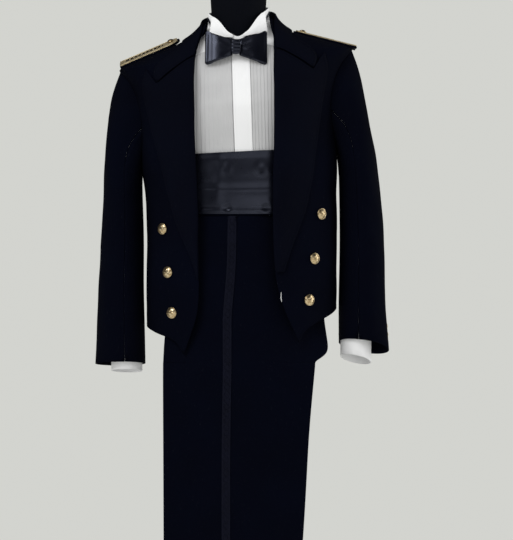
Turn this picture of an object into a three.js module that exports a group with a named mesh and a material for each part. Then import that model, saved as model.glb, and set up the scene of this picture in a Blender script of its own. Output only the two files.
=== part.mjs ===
// Evening dress uniform hung on a limbless dress form, at its real size.
// Millimetres, +Z up. x runs to the viewer's right, the front faces -Y, the floor is z = 0.
// Angles round a body are measured from the centre front, positive towards +x.
import * as THREE from 'three';

// Wall thicknesses and the gap left between sewn pieces
const WOOL = 2.0;
const SHIRTING = 1.2;
const SATIN = 1.6;
const SEAM_GAP = 0.3;
// Half of that gap as an angle, round a body with a radius of 75 mm or more
const SEAM_TURN = SEAM_GAP / 2 / 75;
// Cloth lying on curved cloth keeps this distance at its corners
const LAYER_GAP = 1.2;

// The jacket hangs with the viewer's right side higher: rise of z for each mm of x.
const LEAN = 0.094;
// The form and shirt lean as much at the neck, and stand straight below the waist.
const LEAN_STARTS = 1160;
const LEAN_FULL = 1400;
// It also hangs askew: its shoulders to the viewer's left, its lower part to the right.
const DRIFT_TABLE = [
  { z: 840, shift: 6.5 },
  { z: 900, shift: 6.5 },
  { z: 1000, shift: 5 },
  { z: 1100, shift: 6 },
  { z: 1150, shift: 5.4 },
  { z: 1200, shift: 4.2 },
  { z: 1250, shift: 2 },
  { z: 1300, shift: -1.2 },
  { z: 1350, shift: -4 },
  { z: 1420, shift: -6 },
  { z: 1474, shift: -5.5 },
  { z: 1515, shift: -3 },
  { z: 1540, shift: 0 },
];

// Heights on the form
const FORM_BOTTOM = 945;
const BASE_HEIGHT = 76.4;
const POLE_LENGTH = FORM_BOTTOM - BASE_HEIGHT - 2 * SEAM_GAP;
const FORM_TOP = 1612;
const SHIRT_HEM = 965;
const NECK_SIDE = 1551;
// The torso lies this far inside the surface that the shirt is measured from
const FORM_EASE = 6;

// Cummerbund and bow tie
const CUMMERBUND = { bottom: 1163, top: 1284, endAngle: 97, strapHalf: 17 };
const BOW = {
  x: -4, y: -97, z: 1488, slope: 0.25, length: 54, outerHalf: 31.5, innerHalf: 15, knotHalf: 10, loopDepth: 6.5,
};

// Jacket
const ARMHOLE = { low: 1275, high: 1474, front: 62, back: 58 };
const SHIRT_ARMHOLE = { low: 1320, high: 1459, front: 47, back: 45 };
const FRONT_BUTTON = { radius: 11.2, height: 7.5, sides: 10 };
const SMALL_BUTTON = { radius: 7, height: 5, sides: 8 };
const BOARD = {
  length: 131, halfWidth: 28.5, thick: 4, crown: 1.6, pointLength: 17, pointHalf: 7, laceInset: 4, laceThick: 1.1,
};

// Trousers, folded on the creases: places along the folded sheet and heights
const TROUSERS = {
  waistTop: 1200, waistSeam: 1160, hem: 80, frontCrease: -147, foldRadius: 3, midGap: 0.5,
  braidHalf: 8.5, braidThick: 1.4,
};

// Colours as seen in the photograph
const FINISH = {
  wool: { color: 0x0b0d17, roughness: 0.9, metalness: 0 },
  lapel: { color: 0x0a0b15, roughness: 0.75, metalness: 0 },
  shirt: { color: 0xe9eaec, roughness: 0.85, metalness: 0 },
  bib: { color: 0xb4b5b8, roughness: 0.9, metalness: 0 },
  satin: { color: 0x0d1026, roughness: 0.35, metalness: 0 },
  braid: { color: 0x10152e, roughness: 0.7, metalness: 0 },
  gilt: { color: 0xc79a48, roughness: 0.3, metalness: 1 },
  lace: { color: 0xb99a55, roughness: 0.5, metalness: 0.7 },
  form: { color: 0x0a0a0c, roughness: 0.6, metalness: 0 },
  stand: { color: 0x16161a, roughness: 0.4, metalness: 0.6 },
};

const model = new THREE.Group();
const degrees = (value) => value * Math.PI / 180;
const mix = (a, b, t) => a + (b - a) * t;
const limit = (value, low, high) => Math.min(high, Math.max(low, value));
const ease = (t) => t * t * (3 - 2 * t);
const signedPower = (value, power) => Math.sign(value) * Math.abs(value) ** power;

// A smooth curve through one named column of a table, without overshoot between its rows.
function curve(table, along, key) {
  const xs = table.map((row) => row[along]);
  const ys = table.map((row) => row[key]);
  const slopes = xs.slice(1).map((x, i) => (ys[i + 1] - ys[i]) / (x - xs[i]));
  const tangents = xs.map((x, i) => {
    if (i === 0) return slopes[0];
    if (i === xs.length - 1) return slopes[i - 1];
    if (slopes[i - 1] * slopes[i] <= 0) return 0;
    return 2 * slopes[i - 1] * slopes[i] / (slopes[i - 1] + slopes[i]);
  });
  return (at) => {
    const x = limit(at, xs[0], xs[xs.length - 1]);
    let i = 0;
    while (i < xs.length - 2 && x > xs[i + 1]) i += 1;
    const span = xs[i + 1] - xs[i];
    const t = (x - xs[i]) / span;
    const t2 = t * t;
    const t3 = t2 * t;
    return (2 * t3 - 3 * t2 + 1) * ys[i] + (t3 - 2 * t2 + t) * span * tangents[i]
      + (3 * t2 - 2 * t3) * ys[i + 1] + (t3 - t2) * span * tangents[i + 1];
  };
}

// A body whose level sections are rounded boxes, blended into a neck column.
class BodySurface {
  constructor(table, power, neck) {
    this.width = curve(table, 'z', 'width');
    this.front = curve(table, 'z', 'front');
    this.back = curve(table, 'z', 'back');
    this.centre = curve(table, 'z', 'centre');
    this.power = power;
    this.neck = neck;
  }

  radius(angle, z) {
    const s = Math.abs(Math.sin(angle));
    const c = Math.cos(angle);
    const depth = c > 0 ? this.front(z) : this.back(z);
    const neckDepth = c > 0 ? this.neck.front : this.neck.back;
    const body = ((s / this.width(z)) ** this.power + Math.abs(c / depth) ** this.power) ** (-1 / this.power);
    const neck = ((s / this.neck.width) ** 2 + (c / neckDepth) ** 2) ** -0.5;
    const blend = 8;
    return (body ** blend + neck ** blend) ** (1 / blend);
  }

  skin(angle, z) {
    const r = this.radius(angle, z);
    return new THREE.Vector3(r * Math.sin(angle), this.centre(z) - r * Math.cos(angle), z);
  }

  // The point on the surface at this angle and height, moved out by offset along the normal.
  point(angle, z, offset = 0) {
    const step = 0.004;
    const around = this.skin(angle + step, z).sub(this.skin(angle - step, z));
    const up = this.skin(angle, z + 0.4).sub(this.skin(angle, z - 0.4));
    const normal = around.cross(up).normalize();
    return this.skin(angle, z).addScaledVector(normal, offset);
  }

  // Angle at which the section reaches a given x, or a given y on its front or back half
  angleAtX(x, z) {
    return Math.sign(x) * this.solve(0, Math.PI / 2, (a) => this.skin(a, z).x - Math.abs(x));
  }

  angleAtY(y, z) {
    return this.solve(0, Math.PI, (a) => this.skin(a, z).y - y);
  }

  solve(from, to, gap) {
    let low = from;
    let high = to;
    for (let i = 0; i < 26; i += 1) {
      const middle = (low + high) / 2;
      if (gap(middle) < 0) low = middle;
      else high = middle;
    }
    return (low + high) / 2;
  }

  atX(x, z, offset = 0) {
    return this.point(this.angleAtX(x, z), z, offset);
  }
}

const FORM_TABLE = [
  { z: 945, width: 150, front: 90, back: 88, centre: 0 },
  { z: 985, width: 160, front: 100, back: 99, centre: 0 },
  { z: 1060, width: 154, front: 99, back: 96, centre: 0 },
  { z: 1150, width: 140, front: 94, back: 88, centre: 0 },
  { z: 1200, width: 141, front: 95, back: 87, centre: 0 },
  { z: 1280, width: 154, front: 103, back: 94, centre: 0 },
  { z: 1370, width: 172, front: 112, back: 107, centre: 0 },
  { z: 1415, width: 182, front: 104, back: 110, centre: 0 },
  { z: 1446, width: 192, front: 91, back: 106, centre: 0 },
  { z: 1463, width: 202, front: 81, back: 99, centre: -2 },
  { z: 1476, width: 180, front: 70, back: 86, centre: -4 },
  { z: 1489, width: 148, front: 58, back: 72, centre: -6 },
  { z: 1503, width: 111, front: 48, back: 60, centre: -8 },
  { z: 1518, width: 76, front: 40, back: 50, centre: -10 },
  { z: 1535, width: 52, front: 34, back: 44, centre: -12 },
  { z: 1560, width: 40, front: 30, back: 40, centre: -12 },
  { z: 1625, width: 40, front: 30, back: 40, centre: -12 },
];
const JACKET_TABLE = [
  { z: 860, width: 189, front: 151, back: 109, centre: 0 },
  { z: 950, width: 194, front: 147, back: 111, centre: 0 },
  { z: 1050, width: 195, front: 141, back: 108, centre: 0 },
  { z: 1150, width: 194, front: 136, back: 104, centre: 0 },
  { z: 1250, width: 195, front: 133, back: 107, centre: 0 },
  { z: 1350, width: 197, front: 131, back: 117, centre: 0 },
  { z: 1410, width: 203, front: 126, back: 121, centre: 0 },
  { z: 1440, width: 213, front: 117, back: 119, centre: 0 },
  { z: 1460, width: 225, front: 105, back: 113, centre: 0 },
  { z: 1474, width: 234, front: 94, back: 105, centre: 0 },
  { z: 1484, width: 206, front: 84, back: 97, centre: -2 },
  { z: 1495, width: 170, front: 74, back: 87, centre: -5 },
  { z: 1507, width: 132, front: 66, back: 77, centre: -7 },
  { z: 1519, width: 104, front: 60, back: 69, centre: -9 },
  { z: 1531, width: 84, front: 54, back: 62, centre: -11 },
  { z: 1550, width: 62, front: 46, back: 53, centre: -12 },
  { z: 1600, width: 54, front: 40, back: 46, centre: -12 },
];
const BELT_TABLE = [
  { z: 1150, width: 174, front: 121, back: 97.5, centre: 0 },
  { z: 1206, width: 174, front: 121, back: 97.5, centre: 0 },
  { z: 1222, width: 172, front: 116, back: 98, centre: 0 },
  { z: 1290, width: 170, front: 114, back: 102, centre: 0 },
];
const form = new BodySurface(FORM_TABLE, 2.3, { width: 57, front: 58, back: 60 });
const jacket = new BodySurface(JACKET_TABLE, 2.4, { width: 66.5, front: 68, back: 65.2 });
const belt = new BodySurface(BELT_TABLE, 2.3, { width: 57, front: 58, back: 60 });

const drift = curve(DRIFT_TABLE, 'z', 'shift');
const leanJacket = (p) => p.set(p.x + drift(p.z), p.y, p.z + LEAN * p.x);
const leanShirtSleeve = (p) => p.set(p.x + Math.max(0, drift(p.z)), p.y, p.z + LEAN * p.x);
const leanForm = (p) => p.setZ(p.z + LEAN * p.x * limit((p.z - LEAN_STARTS) / (LEAN_FULL - LEAN_STARTS), 0, 1));
const upright = (p) => p;

function addMesh(name, geometry, finish) {
  geometry.computeVertexNormals();
  const mesh = new THREE.Mesh(geometry, new THREE.MeshStandardMaterial(FINISH[finish]));
  mesh.name = name;
  model.add(mesh);
  return mesh;
}

// A closed body from points and triangles, turned so that its faces point out
function closedBody(name, points, triangles, finish) {
  let volume = 0;
  for (const [a, b, c] of triangles) {
    volume += points[a].dot(new THREE.Vector3().crossVectors(points[b], points[c]));
  }
  const faces = volume > 0 ? triangles : triangles.map(([a, b, c]) => [a, c, b]);
  const geometry = new THREE.BufferGeometry();
  const values = points.flatMap((p) => [p.x, p.y, p.z]);
  geometry.setAttribute('position', new THREE.Float32BufferAttribute(values, 3));
  geometry.setIndex(faces.flat());
  return addMesh(name, geometry, finish);
}

// Cloth: a wall between two grids of points. place(u, v, offset) gives a point of the piece,
// u across and v along from 0 to 1, offset out of the cloth's face. relief(u, v) raises the face.
function cloth(name, finish, piece) {
  const { place, across, along, thick, out = 0, ring = false, lean = upright, relief = () => 0 } = piece;
  const us = Array.isArray(across) ? across : Array.from({ length: across + 1 }, (_, i) => i / across);
  const vs = Array.isArray(along) ? along : Array.from({ length: along + 1 }, (_, i) => i / along);
  const columns = ring ? us.length - 1 : us.length;
  const rows = vs.length;
  const points = [];
  for (const side of [0, 1]) {
    for (const v of vs) {
      for (const u of us.slice(0, columns)) {
        const offset = side === 0 ? out + relief(u, v) : out - thick;
        points.push(lean(place(u, v, offset)));
      }
    }
  }
  const at = (side, i, j) => side * rows * columns + i * columns + (j % columns);
  const cells = ring ? columns : columns - 1;
  const triangles = [];
  const quad = (a, b, c, d) => triangles.push([a, b, c], [a, c, d]);
  for (let i = 0; i < rows - 1; i += 1) {
    for (let j = 0; j < cells; j += 1) {
      quad(at(0, i, j), at(0, i, j + 1), at(0, i + 1, j + 1), at(0, i + 1, j));
      quad(at(1, i, j), at(1, i + 1, j), at(1, i + 1, j + 1), at(1, i, j + 1));
    }
  }
  for (let j = 0; j < cells; j += 1) {
    quad(at(0, 0, j), at(1, 0, j), at(1, 0, j + 1), at(0, 0, j + 1));
    quad(at(0, rows - 1, j), at(0, rows - 1, j + 1), at(1, rows - 1, j + 1), at(1, rows - 1, j));
  }
  if (!ring) {
    for (let i = 0; i < rows - 1; i += 1) {
      quad(at(0, i, 0), at(0, i + 1, 0), at(1, i + 1, 0), at(1, i, 0));
      quad(at(0, i, columns - 1), at(1, i, columns - 1), at(1, i + 1, columns - 1), at(0, i + 1, columns - 1));
    }
  }
  return closedBody(name, points, triangles, finish);
}

// A solid through rings of points, closed at both ends
function ringSolid(name, finish, rings) {
  const count = rings[0].length;
  const points = rings.flat();
  const centreOf = (ring) => ring.reduce((sum, p) => sum.add(p), new THREE.Vector3()).divideScalar(count);
  const bottom = points.push(centreOf(rings[0])) - 1;
  const top = points.push(centreOf(rings[rings.length - 1])) - 1;
  const last = (rings.length - 1) * count;
  const triangles = [];
  for (let j = 0; j < count; j += 1) {
    const next = (j + 1) % count;
    for (let i = 0; i < rings.length - 1; i += 1) {
      const low = i * count;
      const high = low + count;
      triangles.push([low + j, low + next, high + next], [low + j, high + next, high + j]);
    }
    triangles.push([bottom, next, j], [top, last + j, last + next]);
  }
  return closedBody(name, points, triangles, finish);
}

const fractions = (heights) => heights.map((z) => (z - heights[0]) / (heights[heights.length - 1] - heights[0]));

// Dress form
function buildForm() {
  const levels = [985, 1060, 1150, 1280, 1370, 1415, 1446, 1460, 1474, 1489, 1503, 1518, 1535, 1560, FORM_TOP];
  const count = 28;
  const ringAt = (z, scale) => Array.from({ length: count }, (_, j) => {
    const p = form.point(2 * Math.PI * j / count, z, -FORM_EASE * limit((1590 - z) / 60, 0, 1));
    return leanForm(p.multiply(new THREE.Vector3(scale, scale, 1)).setZ(z));
  });
  const rounded = [
    { z: FORM_BOTTOM, scale: 0.94 },
    { z: FORM_BOTTOM + 6, scale: 1 },
  ];
  const rings = rounded.map(({ z, scale }) => ringAt(z, scale)).concat(levels.map((z) => ringAt(z, 1)));
  ringSolid('form_torso', 'form', rings);

  const capProfile = [
    { radius: 57, rise: 0.3 },
    { radius: 60, rise: 4 },
    { radius: 60, rise: 16 },
    { radius: 54, rise: 22 },
    { radius: 30, rise: 27 },
    { radius: 12, rise: 29 },
    { radius: 12, rise: 36 },
    { radius: 6, rise: 41 },
  ];
  const capSides = 14;
  ringSolid('form_neck_cap', 'form', capProfile.map(({ radius, rise }) => (
    Array.from({ length: capSides }, (_, j) => {
      const turn = 2 * Math.PI * j / capSides;
      return leanForm(new THREE.Vector3(radius * Math.sin(turn), -12 - radius * Math.cos(turn), FORM_TOP + rise));
    })
  )));

  const pole = new THREE.LatheGeometry([
    new THREE.Vector2(0, 0),
    new THREE.Vector2(12.5, 0),
    new THREE.Vector2(12.5, POLE_LENGTH - 23),
    new THREE.Vector2(30, POLE_LENGTH - 6),
    new THREE.Vector2(30, POLE_LENGTH),
    new THREE.Vector2(0, POLE_LENGTH),
  ], 14);
  pole.rotateX(Math.PI / 2);
  addMesh('form_pole', pole, 'stand').position.set(0, 0, BASE_HEIGHT + SEAM_GAP);

  const base = new THREE.LatheGeometry([
    new THREE.Vector2(0, 0),
    new THREE.Vector2(172, 0),
    new THREE.Vector2(178, 5),
    new THREE.Vector2(176, 13),
    new THREE.Vector2(150, 22),
    new THREE.Vector2(70, 34),
    new THREE.Vector2(34, 46),
    new THREE.Vector2(26, BASE_HEIGHT),
    new THREE.Vector2(0, BASE_HEIGHT),
  ], 20);
  base.rotateX(Math.PI / 2);
  addMesh('form_base', base, 'stand');
}

// An armhole is a loop on the body: higher at the shoulder, lower under the arm.
function armholeReach(armhole, z) {
  const t = limit((z - armhole.low) / (armhole.high - armhole.low), 0, 1);
  return Math.sqrt(Math.max(0, 1 - (2 * t - 1) ** 2)) * (1.1 - 0.35 * t);
}

// Angle where a front or back panel ends at this height: the side seam, or the armhole's edge
function panelEnd(body, armhole, z, toFront) {
  const inside = z > armhole.low && z < armhole.high;
  if (!inside) return Math.PI / 2;
  const reach = armholeReach(armhole, z);
  return body.angleAtY(toFront ? -armhole.front * reach : armhole.back * reach, z);
}

// Heights of a panel's rows: below the first given level they fan down to the hem of each column
function rowHeight(level, hem, lowest, fanTop) {
  if (level >= fanTop) return level;
  return mix(hem, fanTop, (level - lowest) / (fanTop - lowest));
}

const PANEL_LEVELS = [880, 925, 975, 1043, 1112, 1200, 1275, 1279, 1292, 1325, 1380, 1425, 1450, 1467, 1474,
  1484, 1495, 1507, 1519, 1531, 1545];
const FAN_TOP = 1043;
// Distance of each jacket front's edge from the middle, which is the roll line above z = 1043
const FRONT_EDGE = [
  { z: 880, left: 114, right: 114 },
  { z: 899, left: 113.5, right: 113.5 },
  { z: 905, left: 109.5, right: 109.5 },
  { z: 938, left: 98, right: 98 },
  { z: 967, left: 88.6, right: 86 },
  { z: 1009, left: 80, right: 74 },
  { z: 1036, left: 81.5, right: 68 },
  { z: 1112, left: 82.9, right: 62.5 },
  { z: 1210, left: 82.5, right: 64 },
  { z: 1284, left: 82.3, right: 69.8 },
  { z: 1327, left: 81.5, right: 73.2 },
  { z: 1380, left: 79.7, right: 75.4 },
  { z: 1466, left: 79.1, right: 75.4 },
  { z: 1507, left: 74.8, right: 73.5 },
  { z: 1525, left: 69, right: 67.5 },
  { z: 1545, left: 64, right: 63.5 },
];
// Height of the front's hem from the front tip (u = 0) to the side seam (u = 1)
const FRONT_HEM = [
  { u: 0, z: 899 },
  { u: 0.11, z: 918 },
  { u: 0.26, z: 931 },
  { u: 0.46, z: 940 },
  { u: 0.75, z: 950 },
  { u: 1, z: 953 },
];
const BACK_HEM_SIDE = 953;
const BACK_HEM_CENTRE = 928;
const frontEdgeX = { left: curve(FRONT_EDGE, 'z', 'left'), right: curve(FRONT_EDGE, 'z', 'right') };
const frontHemZ = curve(FRONT_HEM, 'u', 'z');

function buildJacketBody() {
  for (const [side, sign] of [['left', -1], ['right', 1]]) {
    const placeFront = (u, v, offset) => {
      const level = mix(PANEL_LEVELS[0], PANEL_LEVELS[PANEL_LEVELS.length - 1], v);
      const z = rowHeight(level, frontHemZ(u), PANEL_LEVELS[0], FAN_TOP);
      const start = jacket.angleAtX(frontEdgeX[side](z), z);
      const end = panelEnd(jacket, ARMHOLE, z, true) - SEAM_TURN;
      return jacket.point(sign * mix(start, end, u), z, offset);
    };
    cloth(`jacket_front_${side}`, 'wool', {
      place: placeFront, across: 7, along: fractions(PANEL_LEVELS), thick: WOOL, lean: leanJacket,
    });
    const placeBack = (u, v, offset) => {
      const level = mix(PANEL_LEVELS[0], PANEL_LEVELS[PANEL_LEVELS.length - 1], v);
      const hem = mix(BACK_HEM_CENTRE, BACK_HEM_SIDE, ease(1 - u));
      const z = rowHeight(level, hem, PANEL_LEVELS[0], FAN_TOP);
      const start = panelEnd(jacket, ARMHOLE, z, false) + SEAM_TURN;
      return jacket.point(sign * mix(start, Math.PI - SEAM_TURN, u), z, offset);
    };
    const backLevels = PANEL_LEVELS.filter((z) => z !== 925);
    cloth(`jacket_back_${side}`, 'wool', {
      place: placeBack, across: 7, along: fractions(backLevels), thick: WOOL, lean: leanJacket,
    });
  }
}

// Lapel: outer edge, and the top edge from the neck down to the notch and up to the peak
const LAPEL_EDGE = [
  { z: 1043, x: 84 },
  { z: 1068, x: 91 },
  { z: 1101, x: 103 },
  { z: 1134, x: 117 },
  { z: 1157, x: 125 },
  { z: 1221, x: 141 },
  { z: 1310, x: 157 },
  { z: 1364, x: 167 },
  { z: 1401, x: 173 },
];
const LAPEL_TOP = { neck: [80, 1476], notch: [151, 1431], peak: [172, 1464], notchAt: 0.78, base: 1401 };
const LAPEL_ROLL = 4.5;
const lapelEdgeX = curve(LAPEL_EDGE, 'z', 'x');

function lapelSpot(side, u, v) {
  const split = 0.8;
  if (v <= split) {
    const z = mix(LAPEL_EDGE[0].z, LAPEL_TOP.base, v / split);
    return [mix(frontEdgeX[side](z), lapelEdgeX(z), u), z];
  }
  const t = (v - split) / (1 - split);
  const { neck, notch, peak, notchAt, base } = LAPEL_TOP;
  const low = [mix(frontEdgeX[side](base), lapelEdgeX(base), u), base];
  const k = u < notchAt ? u / notchAt : (u - notchAt) / (1 - notchAt);
  const [from, to] = u < notchAt ? [neck, notch] : [notch, peak];
  const high = [mix(from[0], to[0], k), mix(from[1], to[1], k)];
  const swell = 5 * Math.sin(Math.PI * t) * u ** 4;
  return [mix(low[0], high[0], t) + swell, mix(low[1], high[1], t)];
}

function buildLapels() {
  for (const [side, sign] of [['left', -1], ['right', 1]]) {
    const place = (u, v, offset) => {
      const [x, z] = lapelSpot(side, u, v);
      const roll = LAPEL_ROLL * Math.sin(Math.PI * Math.sqrt(u)) ** 1.5 * ease(limit((v + 0.1) * 3, 0, 1));
      return jacket.atX(sign * x, z, offset + roll);
    };
    cloth(`lapel_${side}`, 'lapel', {
      place,
      across: [0, 0.12, 0.34, 0.57, 0.78, 0.89, 1],
      along: [0, 0.1, 0.24, 0.38, 0.52, 0.66, 0.8, 0.9, 1],
      thick: WOOL,
      out: WOOL + 2 * LAYER_GAP,
      lean: leanJacket,
    });
  }
}

// Jacket collar: fold line and outer edge from the gorge round to the centre back.
// The first rows give x, the last ones the angle round the neck in degrees.
const COLLAR_ROWS = [
  { foldX: 80, foldZ: 1479, edgeX: 151, edgeZ: 1434 },
  { foldX: 78, foldZ: 1492, edgeX: 161, edgeZ: 1453 },
  { foldX: 74, foldZ: 1511, edgeX: 138, edgeZ: 1480 },
  { foldX: 69, foldZ: 1530, edgeX: 107, edgeZ: 1502 },
  { foldTurn: 84, foldZ: 1553, edgeTurn: 84, edgeZ: 1521 },
  { foldTurn: 108, foldZ: 1564, edgeTurn: 106, edgeZ: 1526 },
  { foldTurn: 134, foldZ: 1573, edgeTurn: 133, edgeZ: 1529 },
  { foldTurn: 158, foldZ: 1577, edgeTurn: 158, edgeZ: 1530 },
  { foldTurn: 180, foldZ: 1578, edgeTurn: 180, edgeZ: 1530 },
];

function buildCollar() {
  const half = COLLAR_ROWS.map((row) => ({
    foldAngle: row.foldX ? jacket.angleAtX(row.foldX, row.foldZ) : degrees(row.foldTurn),
    foldZ: row.foldZ,
    edgeAngle: row.edgeX ? jacket.angleAtX(row.edgeX, row.edgeZ) : degrees(row.edgeTurn),
    edgeZ: row.edgeZ,
  }));
  const count = half.length - 1;
  const place = (u, v, offset) => {
    const along = (1 - Math.abs(1 - 2 * u)) * count;
    const i = Math.min(count - 1, Math.floor(along));
    const t = along - i;
    const sign = u < 0.5 ? -1 : 1;
    const at = (key) => mix(half[i][key], half[i + 1][key], t);
    const z = mix(at('foldZ'), at('edgeZ'), v);
    const lift = 2.5 * Math.sin(Math.PI * Math.sqrt(v));
    return jacket.point(sign * mix(at('foldAngle'), at('edgeAngle'), v), z, offset + lift);
  };
  cloth('jacket_collar', 'lapel', {
    place,
    across: 26,
    along: [0, 0.12, 0.4, 0.7, 1],
    thick: WOOL,
    out: WOOL + 2.5 * LAYER_GAP,
    lean: leanJacket,
  });
}

// Sleeves: level rings below the armpit, joined to the armhole by smooth lines
const SLEEVE_TABLE = [
  { z: 840, x: 248.5, half: 51.5, depth: 46, y: -26 },
  { z: 876, x: 248, half: 51, depth: 47, y: -24 },
  { z: 955, x: 246.5, half: 48.5, depth: 56, y: -16 },
  { z: 1046, x: 246, half: 46, depth: 61, y: -9 },
  { z: 1128, x: 243.5, half: 43.5, depth: 65, y: -4 },
  { z: 1210, x: 240, half: 39.5, depth: 68, y: -1 },
];
const SHIRT_SLEEVE_TABLE = [
  { z: 840, x: 232, half: 31, depth: 34.5, y: -24 },
  { z: 925, x: 233, half: 32, depth: 36, y: -22 },
  { z: 955, x: 236, half: 34, depth: 42, y: -17 },
  { z: 1046, x: 243, half: 37, depth: 50, y: -9 },
  { z: 1128, x: 243, half: 35, depth: 54, y: -4 },
  { z: 1210, x: 240.5, half: 33, depth: 54, y: -1 },
];
// Hem height of each sleeve: its mean, its fall to the outside and its rise to the front
const SLEEVE_HEM = {
  left: { mean: 880, outer: 4, front: 10 },
  right: { mean: 869, outer: -14, front: 18 },
};
const CUFF = {
  left: { x: -235, mean: 864, outer: 3, front: 8 },
  right: { x: 232, mean: 844, outer: -10, front: 12 },
  half: 31.5, depth: 35, y: -24, height: 62, thick: 2,
};
// Length along the sleeve, and the part of it that turns from the armhole into the level rings
const SLEEVE_LENGTH = 600;
const SLEEVE_TURN = 268;
// How each sleeve leaves its armhole: outward at the sides and under the arm, against the drop
const JACKET_SLEEVE = { inset: 2, stand: 1.2, outward: 0.75, innerOutward: 0.25, innerDrop: -1, crown: 4.5 };
const SHIRT_SLEEVE = { inset: 2, stand: 5.5, outward: 1.1, innerOutward: 1, innerDrop: 0.1, crown: 0 };

class Sleeve {
  constructor(body, armhole, table, sign, settings) {
    this.body = body;
    this.armhole = armhole;
    this.sign = sign;
    this.x = curve(table, 'z', 'x');
    this.half = curve(table, 'z', 'half');
    this.depth = curve(table, 'z', 'depth');
    this.y = curve(table, 'z', 'y');
    this.shoulderZ = table[table.length - 1].z;
    this.settings = settings;
  }

  // Ring point at an angle: 0 outside, 90 front, 180 next to the body, 270 back
  ring(angle, z) {
    const power = 2 / 2.15;
    return new THREE.Vector3(
      this.x(z) + this.half(z) * signedPower(Math.cos(angle), power),
      this.y(z) - this.depth(z) * signedPower(Math.sin(angle), power),
      z,
    );
  }

  // Point of the armhole loop, just outside the body's cloth
  loop(angle) {
    const { inset, stand } = this.settings;
    const t = (1 + Math.cos(angle)) / 2;
    const z = mix(this.armhole.low + inset, this.armhole.high - inset, t);
    const s = Math.sin(angle);
    const reach = (s > 0 ? this.armhole.front : this.armhole.back) - inset;
    const y = -reach * s * (1.1 - 0.35 * t);
    return this.body.point(this.body.angleAtY(y, z), z, stand);
  }

  // Skin point: v from the armhole (0) to the hem (1)
  skin(angle, v) {
    const split = SLEEVE_TURN / SLEEVE_LENGTH;
    const hem = this.settings.hem;
    if (v >= split) {
      const low = hem.mean + hem.outer * Math.cos(angle) + hem.front * Math.sin(angle);
      return this.ring(angle, mix(this.shoulderZ, low, (v - split) / (1 - split)));
    }
    const t = v / split;
    const start = this.loop(angle);
    const end = this.ring(angle, this.shoulderZ);
    const side = Math.abs(Math.sin(angle));
    const inner = Math.max(0, -Math.cos(angle));
    const run = start.distanceTo(end);
    const { outward, innerOutward, innerDrop, crown } = this.settings;
    const leave = new THREE.Vector3(
      mix(0.25 + outward * side ** 2, innerOutward, inner),
      -0.3 * Math.sin(angle),
      mix(-1 + 0.45 * side ** 2, innerDrop, inner),
    );
    const m0 = leave.normalize().multiplyScalar(run * mix(1, 1.3, side));
    const m1 = new THREE.Vector3(0.05, 0, -1).multiplyScalar(run);
    const t2 = t * t;
    const t3 = t2 * t;
    start.multiplyScalar(2 * t3 - 3 * t2 + 1).addScaledVector(m0, t3 - 2 * t2 + t)
      .addScaledVector(end, 3 * t2 - 2 * t3).addScaledVector(m1, t3 - t2);
    start.x += crown * Math.max(0, Math.cos(angle)) * Math.sin(Math.PI * limit(t / 0.45, 0, 1));
    return start;
  }

  point(angle, v, offset) {
    const step = 0.01;
    const p = this.skin(angle, v);
    const around = this.skin(angle + step, v).sub(this.skin(angle - step, v));
    const low = Math.max(0.0005, v);
    const down = this.skin(angle, Math.min(1, low + 0.01)).sub(this.skin(angle, Math.max(0, low - 0.01)));
    const normal = around.cross(down).normalize();
    p.addScaledVector(normal, offset);
    p.x *= this.sign;
    return p;
  }
}

function buildSleeves() {
  const seamTurn = 104;
  const gap = 0.25;
  for (const [side, sign] of [['left', -1], ['right', 1]]) {
    const sleeve = new Sleeve(jacket, ARMHOLE, SLEEVE_TABLE, sign, {
      ...JACKET_SLEEVE, hem: SLEEVE_HEM[side],
    });
    const strip = (from, to) => (u, v, offset) => sleeve.point(degrees(mix(from, to, u)), v, offset);
    const rows = [0, 0.04, 0.1, 0.18, 0.27, 0.36, 0.4467, 0.58, 0.72, 0.86, 1];
    cloth(`sleeve_upper_${side}`, 'wool', {
      place: strip(-seamTurn + gap, seamTurn - gap), across: 12, along: rows, thick: WOOL, lean: leanJacket,
    });
    cloth(`sleeve_under_${side}`, 'wool', {
      place: strip(seamTurn + gap, 360 - seamTurn - gap), across: 6, along: rows, thick: WOOL, lean: leanJacket,
    });

    const shirt = new Sleeve(form, SHIRT_ARMHOLE, SHIRT_SLEEVE_TABLE, sign, {
      ...SHIRT_SLEEVE, hem: { mean: CUFF[side].mean + CUFF.height + 0.6, outer: 0, front: 0 },
    });
    cloth(`shirt_sleeve_${side}`, 'shirt', {
      place: (u, v, offset) => shirt.point(2 * Math.PI * u, v, offset),
      across: 14,
      along: [0, 0.06, 0.14, 0.26, 0.4467, 0.7, 1],
      thick: SHIRTING,
      ring: true,
      lean: leanShirtSleeve,
    });

    const cuff = CUFF[side];
    const placeCuff = (u, v, offset) => {
      const angle = 2 * Math.PI * u;
      const low = cuff.mean + cuff.outer * Math.cos(angle) + cuff.front * Math.sin(angle);
      const top = cuff.mean + CUFF.height;
      return new THREE.Vector3(
        cuff.x + sign * (CUFF.half + offset) * Math.cos(angle),
        CUFF.y - (CUFF.depth + offset) * Math.sin(angle),
        mix(low, top, v),
      );
    };
    cloth(`shirt_cuff_${side}`, 'shirt', {
      place: placeCuff, across: 24, along: 1, thick: CUFF.thick, ring: true, lean: leanJacket,
    });
  }
}

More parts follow.
